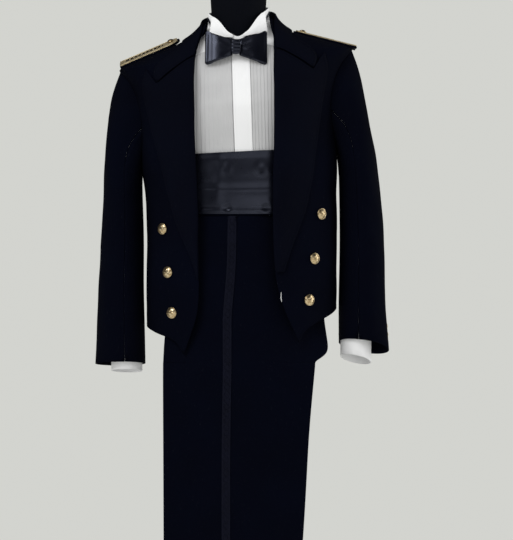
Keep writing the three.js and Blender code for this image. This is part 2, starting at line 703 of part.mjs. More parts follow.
// Shirt neckline: height round the neck, where the collar band is sewn on
const NECKLINE = [
  { turn: 0, z: 1487 },
  { turn: 15, z: 1492 },
  { turn: 30, z: 1506 },
  { turn: 45, z: 1522 },
  { turn: 66, z: 1541 },
  { turn: 81, z: NECK_SIDE },
  { turn: 180, z: NECK_SIDE },
];
const COLLAR_TOP = [
  { turn: 0, z: 1511 },
  { turn: 20, z: 1524 },
  { turn: 45, z: 1552 },
  { turn: 90, z: 1571 },
  { turn: 180, z: 1586 },
];
const PLACKET = { half: 17.3, xTop: 4.5, xBottom: 15.5, thick: 1.5 };
const BIB = { outer: 106, bottom: 1206, pleats: 12, rise: 0.7 };
const SHIRT_OUT = 3.8;
const BIB_OUT = SHIRT_OUT + 1.1 + 1.8;
const necklineZ = curve(NECKLINE, 'turn', 'z');
const collarTopZ = curve(COLLAR_TOP, 'turn', 'z');
const placketX = (z) => mix(PLACKET.xBottom, PLACKET.xTop, limit((z - 1160) / 325, 0, 1));

// Angle at which the neckline passes a height on the front half
function necklineTurn(z) {
  let low = 0;
  let high = 90;
  for (let i = 0; i < 24; i += 1) {
    const middle = (low + high) / 2;
    if (necklineZ(middle) < z) low = middle;
    else high = middle;
  }
  return degrees((low + high) / 2);
}

const SHIRT_LEVELS = [SHIRT_HEM, 1000, 1060, 1150, 1208, 1280, 1320, 1326, 1345, 1380, 1420, 1446, 1459,
  1474, 1489, 1503, 1518, 1535, NECK_SIDE - 0.1];

function buildShirt() {
  const top = SHIRT_LEVELS[SHIRT_LEVELS.length - 1];
  for (const [side, sign] of [['left', -1], ['right', 1]]) {
    const placeFront = (u, v, offset) => {
      const z = mix(SHIRT_HEM, top, v);
      const centre = sign * form.angleAtX(placketX(z), z) + SEAM_TURN;
      const start = z < necklineZ(0) - 3 ? centre : Math.max(centre, necklineTurn(z + 3));
      const end = panelEnd(form, SHIRT_ARMHOLE, z, true) - SEAM_TURN;
      return form.point(sign * mix(start, end, u), z, offset);
    };
    cloth(`shirt_front_${side}`, 'shirt', {
      place: placeFront, across: 6, along: fractions(SHIRT_LEVELS), thick: SHIRTING, out: SHIRT_OUT, lean: leanForm,
    });

    const bibTop = (x) => necklineZ(Math.abs(form.angleAtX(x, 1495)) * 180 / Math.PI) - 1.5;
    const placeBib = (u, v, offset) => {
      const start = PLACKET.half + SEAM_GAP + sign * PLACKET.xTop;
      const x = mix(start, BIB.outer, u);
      const z = mix(BIB.bottom, Math.min(bibTop(x), 1488 - Math.max(0, x - 55) * 0.35), v);
      const slant = sign * (placketX(z) - PLACKET.xTop) * (1 - u);
      return form.atX(sign * (x + slant), z, offset);
    };
    cloth(`shirt_bib_${side}`, 'bib', {
      place: placeBib,
      across: 2 * BIB.pleats,
      along: fractions([BIB.bottom, 1340, 1380, 1420, 1446, 1464, 1488]),
      thick: 1.1,
      out: BIB_OUT,
      relief: (u) => (Math.round(u * 2 * BIB.pleats) % 2 === 0 ? 0 : BIB.rise),
      lean: leanForm,
    });
  }
  const placePlacket = (u, v, offset) => {
    const z = mix(BIB.bottom, necklineZ(0) - 1, v);
    return form.atX(placketX(z) + mix(-PLACKET.half, PLACKET.half, u), z, offset);
  };
  cloth('shirt_placket', 'shirt', {
    place: placePlacket,
    across: 4,
    along: fractions([BIB.bottom, 1340, 1380, 1420, 1446, 1464, 1486]),
    thick: PLACKET.thick,
    out: SHIRT_OUT + 1.8 + PLACKET.thick,
    lean: leanForm,
  });
  const placeBack = (u, v, offset) => {
    const z = mix(SHIRT_HEM, top, v);
    const start = panelEnd(form, SHIRT_ARMHOLE, z, false) + SEAM_TURN;
    return form.point(mix(start, 2 * Math.PI - start, u), z, offset);
  };
  cloth('shirt_back', 'shirt', {
    place: placeBack,
    across: 12,
    along: fractions(SHIRT_LEVELS.filter((z) => ![1000, 1208, 1326].includes(z))),
    thick: SHIRTING,
    out: SHIRT_OUT,
    lean: leanForm,
  });

  const turnOf = (angle) => Math.abs(angle) * 180 / Math.PI;
  const placeBand = (u, v, offset) => {
    const angle = mix(-Math.PI, Math.PI, u);
    const z = mix(necklineZ(turnOf(angle)) + 0.25, collarTopZ(turnOf(angle)), v);
    return form.point(angle, z, offset);
  };
  cloth('shirt_collar_band', 'shirt', {
    place: placeBand, across: 30, along: 1, thick: 1.8, out: 3.6, ring: true, lean: leanForm,
  });

  // Wings of the collar: triangles folded out from its top edge beside the centre front
  const WING = { start: 7, end: 52, tipX: 49.5, tipZ: 1517, tipStand: 9, thick: 1.4 };
  for (const [side, sign] of [['left', -1], ['right', 1]]) {
    const placeWing = (u, v, offset) => {
      const foldX = mix(WING.start, WING.end, u);
      const foldTurn = mix(6, 58, u);
      const foldZ = collarTopZ(foldTurn) + 0.6;
      const edgeX = mix(WING.start, WING.tipX, u);
      const edgeZ = mix(collarTopZ(6) - 4, WING.tipZ, u);
      const fold = form.point(degrees(foldTurn), foldZ, 5 + offset);
      fold.x = mix(fold.x, foldX, 0.35);
      const edge = form.atX(edgeX, Math.max(edgeZ, 1497), 5.6 + offset + WING.tipStand * u);
      edge.z = edgeZ;
      const p = fold.lerp(edge, v);
      p.y -= 3 * Math.sin(Math.PI * v) * u;
      p.x *= sign;
      return p;
    };
    cloth(`shirt_wing_${side}`, 'shirt', {
      place: placeWing,
      across: [0.06, 0.3, 0.55, 0.8, 1],
      along: [0, 0.25, 0.6, 1],
      thick: WING.thick,
      out: WING.thick,
      lean: leanForm,
    });
  }
}

function buildBowTie() {
  const turnOf = (angle) => Math.abs(angle) * 180 / Math.PI;
  const placeBand = (u, v, offset) => {
    const angle = mix(-Math.PI, Math.PI, u);
    const low = necklineZ(turnOf(angle)) + 2 + 4 * ease(limit(turnOf(angle) / 90, 0, 1));
    return form.point(angle, mix(low, low + 18, v), offset);
  };
  cloth('tie_band', 'satin', {
    place: placeBand, across: 30, along: 1, thick: 1.2, out: 5.9, ring: true, lean: leanForm,
  });

  for (const [side, sign] of [['left', -1], ['right', 1]]) {
    // Each bow is a flattened loop: front layer, round end, back layer.
    const place = (u, v, offset) => {
      const turn = mix(-1, 1, u);
      const reach = 1 - Math.abs(turn) ** 2.2;
      const along = BOW.knotHalf * 0.7 + BOW.length * reach ** 0.55;
      const t = limit(along / (BOW.length + BOW.knotHalf), 0, 1);
      const half = mix(BOW.innerHalf, BOW.outerHalf, ease(t));
      const bulge = BOW.loopDepth * (0.35 + 0.65 * Math.sin(Math.PI * Math.min(1, t * 0.95)));
      const depth = signedPower(turn, 0.7) * bulge;
      const normal = new THREE.Vector3(reach ** 2, turn, 0).normalize();
      const p = new THREE.Vector3(along, depth, mix(-half, half, v));
      p.addScaledVector(normal, offset);
      const curl = 0.0016 * p.x * p.x;
      return new THREE.Vector3(BOW.x + sign * p.x, BOW.y + p.y + curl + BOW.slope * p.z, BOW.z + p.z);
    };
    cloth(`tie_bow_${side}`, 'satin', { place, across: 12, along: 2, thick: SATIN });
  }
  const knot = new THREE.SphereGeometry(1, 10, 6);
  const position = knot.attributes.position;
  for (let i = 0; i < position.count; i += 1) {
    position.setXYZ(
      i,
      signedPower(position.getX(i), 0.6) * 9.5,
      signedPower(position.getY(i), 0.7) * 3.4,
      signedPower(position.getZ(i), 0.6) * 14,
    );
  }
  addMesh('tie_knot', knot, 'satin').position.set(BOW.x, BOW.y - 9, BOW.z);
}

function buildCummerbund() {
  const end = degrees(CUMMERBUND.endAngle);
  const placeFront = (u, v, offset) => {
    const z = mix(CUMMERBUND.bottom, CUMMERBUND.top, v);
    return belt.point(mix(-end, end, u), z, offset);
  };
  cloth('cummerbund_front', 'satin', {
    place: placeFront,
    across: 22,
    along: fractions([1163, 1170, 1206, 1222, 1276, 1284]),
    thick: SATIN,
    lean: leanForm,
  });
  const middle = (CUMMERBUND.bottom + CUMMERBUND.top) / 2;
  const placeStrap = (u, v, offset) => {
    const z = middle + mix(-CUMMERBUND.strapHalf, CUMMERBUND.strapHalf, v);
    return belt.point(mix(end + 0.003, 2 * Math.PI - end - 0.003, u), z, offset);
  };
  cloth('cummerbund_strap', 'satin', { place: placeStrap, across: 16, along: 1, thick: SATIN, lean: leanForm });

  const outline = new THREE.Shape();
  const half = CUMMERBUND.strapHalf + 4;
  outline.moveTo(-half, -half).lineTo(half, -half).lineTo(half, half).lineTo(-half, half).closePath();
  const hole = new THREE.Path();
  const inner = half - 4;
  hole.moveTo(-inner, -inner).lineTo(-inner, inner).lineTo(inner, inner).lineTo(inner, -inner).closePath();
  outline.holes.push(hole);
  const buckle = new THREE.ExtrudeGeometry(outline, { depth: 2, bevelEnabled: false });
  buckle.rotateX(Math.PI / 2);
  const back = belt.point(Math.PI, middle, 0);
  addMesh('cummerbund_buckle', buckle, 'gilt').position.set(0, back.y + 3.4, middle);
}

// Gilt domed button, seated on the cloth with its back to the surface
function addButton(name, size, point, normal) {
  const { radius, height, sides } = size;
  const dome = new THREE.LatheGeometry([
    new THREE.Vector2(0, 0),
    new THREE.Vector2(radius * 0.72, 0),
    new THREE.Vector2(radius, height * 0.3),
    new THREE.Vector2(radius * 0.97, height * 0.45),
    new THREE.Vector2(radius * 0.86, height * 0.52),
    new THREE.Vector2(radius * 0.62, height * 0.84),
    new THREE.Vector2(radius * 0.3, height * 0.97),
    new THREE.Vector2(0, height),
  ], sides);
  dome.rotateX(Math.PI / 2);
  const mesh = addMesh(name, dome, 'gilt');
  mesh.quaternion.setFromUnitVectors(new THREE.Vector3(0, 0, 1), normal);
  mesh.position.copy(point);
}

// Position and outward direction of a leaning surface, from three of its points
function seatOn(pointAt, offset) {
  const centre = pointAt(0, 0);
  const normal = pointAt(1, 0).sub(centre).cross(pointAt(0, 1).sub(centre)).normalize();
  return { point: centre.clone().addScaledVector(normal, offset), normal };
}

// Shortest way along a direction from the corners of some meshes to the faces of others
function shortestWay(from, onto, direction) {
  const ray = new THREE.Raycaster();
  const corner = new THREE.Vector3();
  let shortest = Infinity;
  for (const mesh of from) {
    const position = mesh.geometry.attributes.position;
    for (let i = 0; i < position.count; i += 1) {
      corner.fromBufferAttribute(position, i).applyMatrix4(mesh.matrixWorld);
      ray.set(corner, direction);
      for (const hit of ray.intersectObjects(onto, false)) shortest = Math.min(shortest, hit.distance);
    }
  }
  return shortest;
}

// Moves pieces along a direction until they lie a small gap away from what they rest on.
function settle(isPiece, isRest, direction, gap = SEAM_GAP) {
  model.updateMatrixWorld(true);
  const pieces = model.children.filter((mesh) => isPiece(mesh.name));
  const rests = model.children.filter((mesh) => isRest(mesh.name));
  const back = direction.clone().negate();
  const way = Math.min(shortestWay(pieces, rests, direction), shortestWay(rests, pieces, back));
  for (const piece of pieces) piece.position.addScaledVector(direction, way - gap);
}

const FRONT_BUTTONS = [
  { name: 'upper', left: 152.5, right: 157, z: 1148 },
  { name: 'middle', left: 144, right: 144, z: 1062 },
  { name: 'lower', left: 134, right: 134, z: 982 },
];
const SLEEVE_BUTTONS = [
  { name: 'upper', above: 50 },
  { name: 'lower', above: 34 },
];

function buildButtons() {
  for (const [side, sign] of [['left', -1], ['right', 1]]) {
    for (const button of FRONT_BUTTONS) {
      const { name, z } = button;
      const seat = seatOn((du, dv) => leanJacket(jacket.atX(sign * button[side] + du, z + dv, 0)), 2);
      addButton(`front_button_${name}_${side}`, FRONT_BUTTON, seat.point, seat.normal);
      settle(
        (piece) => piece === `front_button_${name}_${side}`,
        (rest) => rest === `jacket_front_${side}`,
        seat.normal.clone().negate(),
      );
    }
    const sleeve = new Sleeve(jacket, ARMHOLE, SLEEVE_TABLE, sign, {
      ...JACKET_SLEEVE, hem: SLEEVE_HEM[side],
    });
    for (const { name, above } of SLEEVE_BUTTONS) {
      const turn = degrees(-24);
      const v = 1 - above / SLEEVE_LENGTH;
      const seat = seatOn((du, dv) => leanJacket(sleeve.point(turn - sign * du * 0.02, v - dv * 0.002, 0)), 2);
      addButton(`sleeve_button_${name}_${side}`, SMALL_BUTTON, seat.point, seat.normal);
      settle(
        (piece) => piece === `sleeve_button_${name}_${side}`,
        (rest) => rest === `sleeve_upper_${side}`,
        seat.normal.clone().negate(),
      );
    }
  }
}

// Shoulder boards: stiff, straight, lying along the shoulder from its tip towards the collar
const BOARD_ENDS = { inner: [113, 1515], outer: [238.5, 1472.5] };
// Degrees by which each board tips down to the front
const BOARD_ROLL = { left: 16, right: 3 };

function outsideJacket(p, margin) {
  const straight = new THREE.Vector3(p.x, p.y, p.z - LEAN * p.x);
  straight.x -= drift(straight.z);
  if (straight.z < ARMHOLE.high) return Math.abs(straight.x) > jacket.width(ARMHOLE.high) + margin;
  const { z } = straight;
  const angle = Math.atan2(Math.abs(straight.x), jacket.centre(z) - straight.y);
  return Math.hypot(straight.x, straight.y - jacket.centre(z)) > jacket.radius(angle, z) + margin;
}

function buildBoards() {
  for (const [side, sign] of [['left', -1], ['right', 1]]) {
    const inner = new THREE.Vector3(sign * BOARD_ENDS.inner[0], 0, BOARD_ENDS.inner[1]);
    const outer = new THREE.Vector3(sign * BOARD_ENDS.outer[0], 0, BOARD_ENDS.outer[1]);
    leanJacket(inner);
    leanJacket(outer);
    const along = outer.clone().sub(inner).normalize();
    const across = new THREE.Vector3(0, 1, 0).applyAxisAngle(along, sign * degrees(BOARD_ROLL[side]));
    const up = new THREE.Vector3().crossVectors(along, across).normalize();
    if (up.z < 0) up.negate();
    const halfAt = (x) => {
      const t = limit(x / BOARD.pointLength, 0, 1);
      return mix(BOARD.pointHalf, BOARD.halfWidth, Math.sqrt(t));
    };
    const spot = (x, y, height) => inner.clone().addScaledVector(along, x).addScaledVector(across, y)
      .addScaledVector(up, height);
    let seat = 0;
    const clear = (height) => [0, 0.25, 0.5, 0.75, 1].every((t) => [-1, -0.5, 0, 0.5, 1].every((s) => {
      const x = t * BOARD.length;
      return outsideJacket(spot(x, s * halfAt(x), height), 2.5);
    }));
    while (seat < 30 && !clear(seat)) seat += 0.5;
    const crown = (y) => BOARD.crown * (1 - (y / BOARD.halfWidth) ** 2);
    const ends = [0, 0.04, 0.13, 0.42, 0.71, 1];
    const place = (inset, base) => (u, v, offset) => {
      const x = mix(inset, BOARD.length - inset * 0.4, v);
      const y = mix(-1, 1, u) * (halfAt(x) - inset);
      return spot(x, y, base + crown(y) + offset);
    };
    cloth(`shoulder_board_${side}`, 'wool', {
      place: place(0, seat), across: 4, along: ends, thick: BOARD.thick, out: BOARD.thick,
    });
    cloth(`board_lace_${side}`, 'lace', {
      place: place(BOARD.laceInset, seat + BOARD.thick),
      across: 4,
      along: ends,
      thick: BOARD.laceThick,
      out: BOARD.laceThick + SEAM_GAP,
    });
    const buttonAt = spot(18, 0, seat + BOARD.thick + BOARD.crown + BOARD.laceThick + 3 * SEAM_GAP);
    addButton(`board_button_${side}`, SMALL_BUTTON, buttonAt, up);
    settle(
      (piece) => [`shoulder_board_${side}`, `board_lace_${side}`, `board_button_${side}`].includes(piece),
      (rest) => /^(jacket|sleeve_upper|lapel)/.test(rest),
      up.clone().negate(),
    );
  }
}

// Trousers. The folded pair is a sheet whose middle plane wraps the form at the waist and hangs
// flat below it: s runs across it, z up it, and d is the depth towards the viewer.
const WRAP_TABLE = [
  { z: 80, bend: 0.0001, y: -124 },
  { z: 850, bend: 0.0002, y: -124 },
  { z: 890, bend: 0.0017, y: -123 },
  { z: 915, bend: 0.0025, y: -122 },
  { z: 945, bend: 0.0036, y: -121 },
  { z: 985, bend: 0.004, y: -120 },
  { z: 1060, bend: 0.0041, y: -118 },
  { z: 1150, bend: 0.0045, y: -112.5 },
  { z: 1205, bend: 0.0045, y: -112.5 },
];
const LEG_TABLE = [
  { z: 80, back: 96, seam: -24, thick: 17 },
  { z: 527, back: 127.5, seam: -24, thick: 17 },
  { z: 720, back: 137.5, seam: -23.5, thick: 15 },
  { z: 800, back: 145, seam: -23, thick: 13.5 },
  { z: 871, back: 151, seam: -21, thick: 11 },
  { z: 892, back: 176, seam: -21, thick: 10.5 },
  { z: 970, back: 181, seam: -20, thick: 9 },
  { z: 1043, back: 176, seam: -14, thick: 8 },
  { z: 1160, back: 168, seam: -11, thick: 6.5 },
  { z: 1205, back: 166, seam: -11, thick: 6.5 },
];
// Where the inner layers end: the front's at the fly, the back's along the seat curve
const INNER_END = [
  { z: 80, front: -19, back: -19 },
  { z: 866, front: -19, back: -19 },
  { z: 871, front: -20, back: 20 },
  { z: 876, front: -24, back: 95 },
  { z: 886, front: -30, back: 150 },
  { z: 910, front: -35, back: 168 },
  { z: 970, front: -37, back: 174 },
  { z: 1043, front: -37, back: 169 },
  { z: 1160, front: -37, back: 161 },
  { z: 1205, front: -37, back: 159 },
];
const wrapBend = curve(WRAP_TABLE, 'z', 'bend');
const wrapY = curve(WRAP_TABLE, 'z', 'y');
const legBack = curve(LEG_TABLE, 'z', 'back');
const legSeam = curve(LEG_TABLE, 'z', 'seam');
const legThick = curve(LEG_TABLE, 'z', 'thick');
const innerFront = curve(INNER_END, 'z', 'front');
const innerBack = curve(INNER_END, 'z', 'back');
const LEG_LEVELS = [80, 527, 720, 850, 871, 877, 890, 915, 945, 970, 1043, 1100, 1159.7];

function wrapPoint(s, d, z) {
  const bend = wrapBend(z);
  const turn = s * bend;
  const x = Math.sin(turn) / bend;
  const y = wrapY(z) + (1 - Math.cos(turn)) / bend;
  return new THREE.Vector3(x + d * Math.sin(turn), y - d * Math.cos(turn), z);
}

// Depth of the near leg's outer face
function faceDepth(s, z) {
  const from = TROUSERS.frontCrease;
  const t = limit((s - from) / (legBack(z) - from), 0, 1);
  const edge = 2 * TROUSERS.foldRadius;
  return TROUSERS.midGap + edge + (legThick(z) - edge) * Math.sin(Math.PI * t) ** 0.7;
}

// One panel's path at a height: along the outer face, round the crease, back along the inner face.
// offset 0 is the cloth's outside, and -WOOL its inside.
function panelPath(t, z, edge, seam, innerEnd, offset) {
  const r = TROUSERS.foldRadius;
  const side = Math.sign(edge - seam);
  const centre = edge - side * r;
  const shares = { face: 0.46, fold: 0.64 };
  if (t <= shares.face) {
    const s = mix(seam, centre, t / shares.face);
    return [s, faceDepth(s, z) + offset];
  }
  if (t < shares.fold) {
    const k = (t - shares.face) / (shares.fold - shares.face);
    const turn = Math.PI * k;
    const middle = (faceDepth(centre, z) + TROUSERS.midGap) / 2;
    const half = (faceDepth(centre, z) - TROUSERS.midGap) / 2;
    return [centre + side * (r + offset) * Math.sin(turn), middle + (half + offset) * Math.cos(turn)];
  }
  const k = (t - shares.fold) / (1 - shares.fold);
  return [mix(centre, innerEnd, k), TROUSERS.midGap - offset];
}

const PANEL_STEPS = [0, 0.12, 0.25, 0.37, 0.46, 0.52, 0.58, 0.64, 0.74, 0.87, 1];

function buildTrousers() {
  for (const [layer, facing] of [['near', 1], ['far', -1]]) {
    const panel = (edgeAt, innerAt, seamShift) => (u, v, offset) => {
      const z = mix(LEG_LEVELS[0], LEG_LEVELS[LEG_LEVELS.length - 1], v);
      const [s, d] = panelPath(u, z, edgeAt(z), legSeam(z) + seamShift, innerAt(z), offset);
      return wrapPoint(s, facing * d, z);
    };
    const half = SEAM_GAP / 2;
    cloth(`trouser_front_${layer}`, 'wool', {
      place: panel(() => TROUSERS.frontCrease, (z) => innerFront(z) - half, -half),
      across: PANEL_STEPS,
      along: fractions(LEG_LEVELS),
      thick: WOOL,
    });
    cloth(`trouser_back_${layer}`, 'wool', {
      place: panel(legBack, (z) => innerBack(z) + half, half),
      across: PANEL_STEPS,
      along: fractions(LEG_LEVELS),
      thick: WOOL,
    });

    // Waistband half: from the fly round the front crease, across the face and in at the back
    const bandLow = TROUSERS.waistSeam;
    const placeBand = (u, v, offset) => {
      const z = mix(bandLow, TROUSERS.waistTop, v);
      const seam = legSeam(z);
      const split = 0.5;
      const [s, d] = u <= split
        ? panelPath(1 - u / split, z, TROUSERS.frontCrease, seam, innerFront(z), offset)
        : panelPath((u - split) / (1 - split), z, legBack(z), seam, innerBack(z), offset);
      return wrapPoint(s, facing * d, z);
    };
    const frontSteps = PANEL_STEPS.map((t) => 0.5 * (1 - t)).reverse();
    const backSteps = PANEL_STEPS.slice(1).map((t) => 0.5 * (1 + t));
    cloth(`waistband_${layer}`, 'wool', {
      place: placeBand, across: frontSteps.concat(backSteps), along: 1, thick: WOOL,
    });

    const placeBraid = (u, v, offset) => {
      const z = mix(TROUSERS.hem + 0.5, 1159.5, v);
      const s = legSeam(z) + mix(-TROUSERS.braidHalf, TROUSERS.braidHalf, u);
      return wrapPoint(s, facing * (faceDepth(s, z) + offset), z);
    };
    cloth(`braid_${layer}`, 'braid', {
      place: placeBraid,
      across: 2,
      along: fractions(LEG_LEVELS),
      thick: TROUSERS.braidThick,
      out: TROUSERS.braidThick + (layer === 'near' ? SEAM_GAP : LAYER_GAP),
    });
  }
}

buildForm();
buildJacketBody();
buildLapels();
buildCollar();
buildSleeves();
buildShirt();
buildBowTie();
buildCummerbund();
buildButtons();
buildBoards();
buildTrousers();

// The bow lies on the shirt front, and the jacket's neck on the band of the tie.
settle(
  (piece) => /^tie_(bow|knot)/.test(piece),
  (rest) => /^(shirt|tie_band)/.test(rest),
  new THREE.Vector3(0, 1, 0),
  2 * SEAM_GAP,
);
settle(
  (piece) => /^(jacket|lapel|sleeve|front_button|shoulder_board|board)_/.test(piece),
  (rest) => /^(tie_band|shirt_back|shirt_collar)/.test(rest),
  new THREE.Vector3(0, -1, 0),
);

export default model;
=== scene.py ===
"""Evening dress uniform on a limbless dress form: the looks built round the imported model.

Lengths are metres unless a name ends in _mm. x runs to the viewer's right, the front faces -Y.
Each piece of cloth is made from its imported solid: quads, rounded edges, then the folds that
its drape lists, so every piece stays where its solid is.
"""

import logging
import math
from collections.abc import Callable, Iterable, Sequence
from dataclasses import dataclass, field
from enum import Enum

import bmesh
import bpy
import numpy as np
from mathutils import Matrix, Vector
from mathutils.bvhtree import BVHTree


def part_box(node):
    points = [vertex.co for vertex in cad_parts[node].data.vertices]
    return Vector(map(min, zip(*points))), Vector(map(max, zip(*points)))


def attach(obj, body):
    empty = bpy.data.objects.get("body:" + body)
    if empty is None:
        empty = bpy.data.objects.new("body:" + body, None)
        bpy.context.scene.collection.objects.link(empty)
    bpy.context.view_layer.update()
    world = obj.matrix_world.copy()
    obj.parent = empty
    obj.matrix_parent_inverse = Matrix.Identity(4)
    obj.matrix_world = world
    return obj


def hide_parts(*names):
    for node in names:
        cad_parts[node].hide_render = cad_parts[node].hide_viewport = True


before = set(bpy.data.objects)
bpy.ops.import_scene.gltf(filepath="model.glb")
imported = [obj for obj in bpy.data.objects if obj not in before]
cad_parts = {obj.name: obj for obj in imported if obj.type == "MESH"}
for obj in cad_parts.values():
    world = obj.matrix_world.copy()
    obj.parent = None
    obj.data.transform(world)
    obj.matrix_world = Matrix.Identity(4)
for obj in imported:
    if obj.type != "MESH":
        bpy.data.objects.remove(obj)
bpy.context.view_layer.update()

log = logging.getLogger("dress_uniform")

MM = 0.001
ROOT = "root"
# The jacket and the neck lean: rise of z for each unit of x
LEAN = 0.094
LEAN_STARTS, LEAN_FULL = 1.160, 1.400
RIM_ANGLE = math.radians(72)
CORNER_ANGLE = math.radians(35)
THREAD_PLACE = "thread_place"
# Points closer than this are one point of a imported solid
WELD = 0.02 * MM
# How often, and by how much, a fine mesh is drawn back to its packed corners
CORRECTIONS, CORRECTION_SHARE = 3, 0.9
BODY_RADIUS = 0.165
# The neck's axis, round which the collar, the shirt's band and the tie's strap lie
NECK_AXIS, NECK_RADIUS = (0.0, -0.012), 0.06
# Pitch and radius of the stitches
WOOL_STITCH = (0.0050, 0.00022)
SHIRT_STITCH = (0.0030, 0.0002)


class Side(Enum):
    """The viewer's left or right, as the sign of x."""

    LEFT = -1
    RIGHT = 1

    @property
    def word(self) -> str:
        """The side as it is written in the names of nodes."""
        return self.name.lower()


class Facing(Enum):
    """Which way a piece of cloth faces."""

    FRONT = "front"
    BACK = "back"
    UP = "up"
    ROUND = "round"


class Held(Enum):
    DRAPED = "draped"
    HUNG = "hung"
    LAID = "laid"
    FOLDED = "folded"
    STRETCHED = "stretched"


def smooth_step(value: np.ndarray, start: float, end: float) -> np.ndarray:
    """0 before start, 1 after end, with a soft turn between them."""
    t = np.clip((value - start) / (end - start), 0.0, 1.0)
    return t * t * (3.0 - 2.0 * t)


# ---------------------------------------------------------------- folds and drapes


@dataclass(frozen=True)
class Chart:
    """Lays a piece of cloth out flat, and says which way is out of it."""

    facing: Facing
    centre: tuple[float, float] = (0.0, 0.0)
    radius: float = BODY_RADIUS
    zero: float = 0.0

    def flat(self, points: np.ndarray) -> np.ndarray:
        """Places on the flat cloth.

        Args:
            points: n rows of x, y, z.

        Returns:
            n rows of the distance across and the distance up.
        """
        x, y, z = points.T
        if self.facing is Facing.UP:
            return np.stack([x, y], 1)
        if self.facing is not Facing.ROUND:
            return np.stack([x, z], 1)
        turn = np.arctan2(x - self.centre[0], self.centre[1] - y) - self.zero
        turn = (turn + math.pi) % (2 * math.pi) - math.pi
        return np.stack([turn * self.radius, z], 1)

    def out(self, points: np.ndarray) -> np.ndarray:
        """Unit vectors out of the cloth at these points.

        Args:
            points: n rows of x, y, z.

        Returns:
            n rows of unit vectors.
        """
        ways = np.zeros_like(points)
        if self.facing is Facing.UP:
            ways[:, 2] = 1.0
        elif self.facing is Facing.ROUND:
            turn = np.arctan2(points[:, 0] - self.centre[0], self.centre[1] - points[:, 1])
            ways[:, 0], ways[:, 1] = np.sin(turn), -np.cos(turn)
        else:
            ways[:, 1] = -1.0 if self.facing is Facing.FRONT else 1.0
        return ways


@dataclass(frozen=True)
class Fold:
    """One soft ridge, or trough where its height is below 0, on the flat cloth. All in millimetres."""

    from_s: float
    from_z: float
    to_s: float
    to_z: float
    half_width: float
    height: float
    bow: float = 0.0

    def lift(self, flat_mm: np.ndarray) -> np.ndarray:
        """How far the fold lifts each place of the flat cloth, in millimetres.

        Args:
            flat_mm: n rows of places on the flat cloth, in millimetres.

        Returns:
            One height for each point.
        """
        start = np.array([self.from_s, self.from_z])
        way = np.array([self.to_s, self.to_z]) - start
        length = float(np.hypot(*way))
        way = way / length
        reach = (flat_mm - start) @ way / length
        along = np.clip(reach, 0.0, 1.0)
        across = (flat_mm - start) @ np.array([-way[1], way[0]])
        across = across - self.bow * 4.0 * along * (1.0 - along)
        past = (reach - along) * length
        fade = np.sqrt(np.clip(4.0 * along * (1.0 - along), 0.0, 1.0))
        return self.height * fade * np.exp(-((across / self.half_width) ** 2) - (past / self.half_width) ** 2)


def folds(*rows: Sequence[float], mirror: bool = False) -> tuple[Fold, ...]:
    """Folds from rows of (from s, from z, to s, to z, half width, height, bow).

    Args:
        rows: one row for each fold.
        mirror: True where the rows are written for the other side.

    Returns:
        The folds, in the order of the rows.
    """
    made = (Fold(*row) for row in rows)
    if not mirror:
        return tuple(made)
    return tuple(Fold(-f.from_s, f.from_z, -f.to_s, f.to_z, f.half_width, f.height, -f.bow) for f in made)


@dataclass(frozen=True)
class Drape:
    """How a stretch of cloth hangs: its folds, its slight unevenness, and where it is held flat."""

    chart: Chart
    folds: tuple[Fold, ...] = ()
    sway: float = 0.0
    ease: Callable[[np.ndarray], np.ndarray] | None = None
    relief: Callable[[np.ndarray], np.ndarray] | None = None
    shift: Callable[[np.ndarray], np.ndarray] | None = None

    def lift(self, points: np.ndarray) -> np.ndarray:
        """How far the cloth stands out of its plain form at each point.

        Args:
            points: n rows of x, y, z.

        Returns:
            One height for each point.
        """
        flat_mm = self.chart.flat(points) / MM
        total = np.zeros(len(points))
        for fold in self.folds:
            total += fold.lift(flat_mm) * MM
        if self.sway:
            x, y, z = points.T
            total += self.sway * np.sin(38 * x + 21 * z + 1.3) * np.sin(17 * z - 9 * y + 0.4)
            total += 0.6 * self.sway * np.sin(71 * z + 33 * y + 2.1) * np.sin(52 * x - 12 * z)
        if self.ease is not None:
            total *= self.ease(points)
        if self.relief is not None:
            total += self.relief(points)
        return total

    def moved(self, points: np.ndarray) -> np.ndarray:
        """The points, each moved out of the cloth by its lift, and along it where the drape shifts it."""
        moved = points + self.chart.out(points) * self.lift(points)[:, None]
        return moved if self.shift is None else moved + self.shift(points)


# ---------------------------------------------------------------- meshes


def quad_copy(node: str) -> bmesh.types.BMesh:
    """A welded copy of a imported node, with its triangles joined into quads.

    Args:
        node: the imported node's name.

    Returns:
        The copy, which the caller frees.
    """
    bm = bmesh.new()
    bm.from_mesh(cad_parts[node].data)
    bmesh.ops.remove_doubles(bm, verts=bm.verts, dist=WELD)
    bmesh.ops.join_triangles(bm, faces=bm.faces, angle_face_threshold=1.05, angle_shape_threshold=math.pi)
    bmesh.ops.recalc_face_normals(bm, faces=bm.faces)
    return bm


def surface_tree(mesh: bpy.types.Mesh) -> BVHTree:
    """The faces of a finished mesh, to lay other things on.

    Args:
        mesh: the mesh.

    Returns:
        The tree.
    """
    bm = bmesh.new()
    bm.from_mesh(mesh)
    tree = BVHTree.FromBMesh(bm)
    bm.free()
    return tree


def solid_tree(node: str) -> BVHTree:
    """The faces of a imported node, to lay other things on.

    Args:
        node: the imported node's name.

    Returns:
        The tree.
    """
    bm = quad_copy(node)
    tree = BVHTree.FromBMesh(bm)
    bm.free()
    return tree


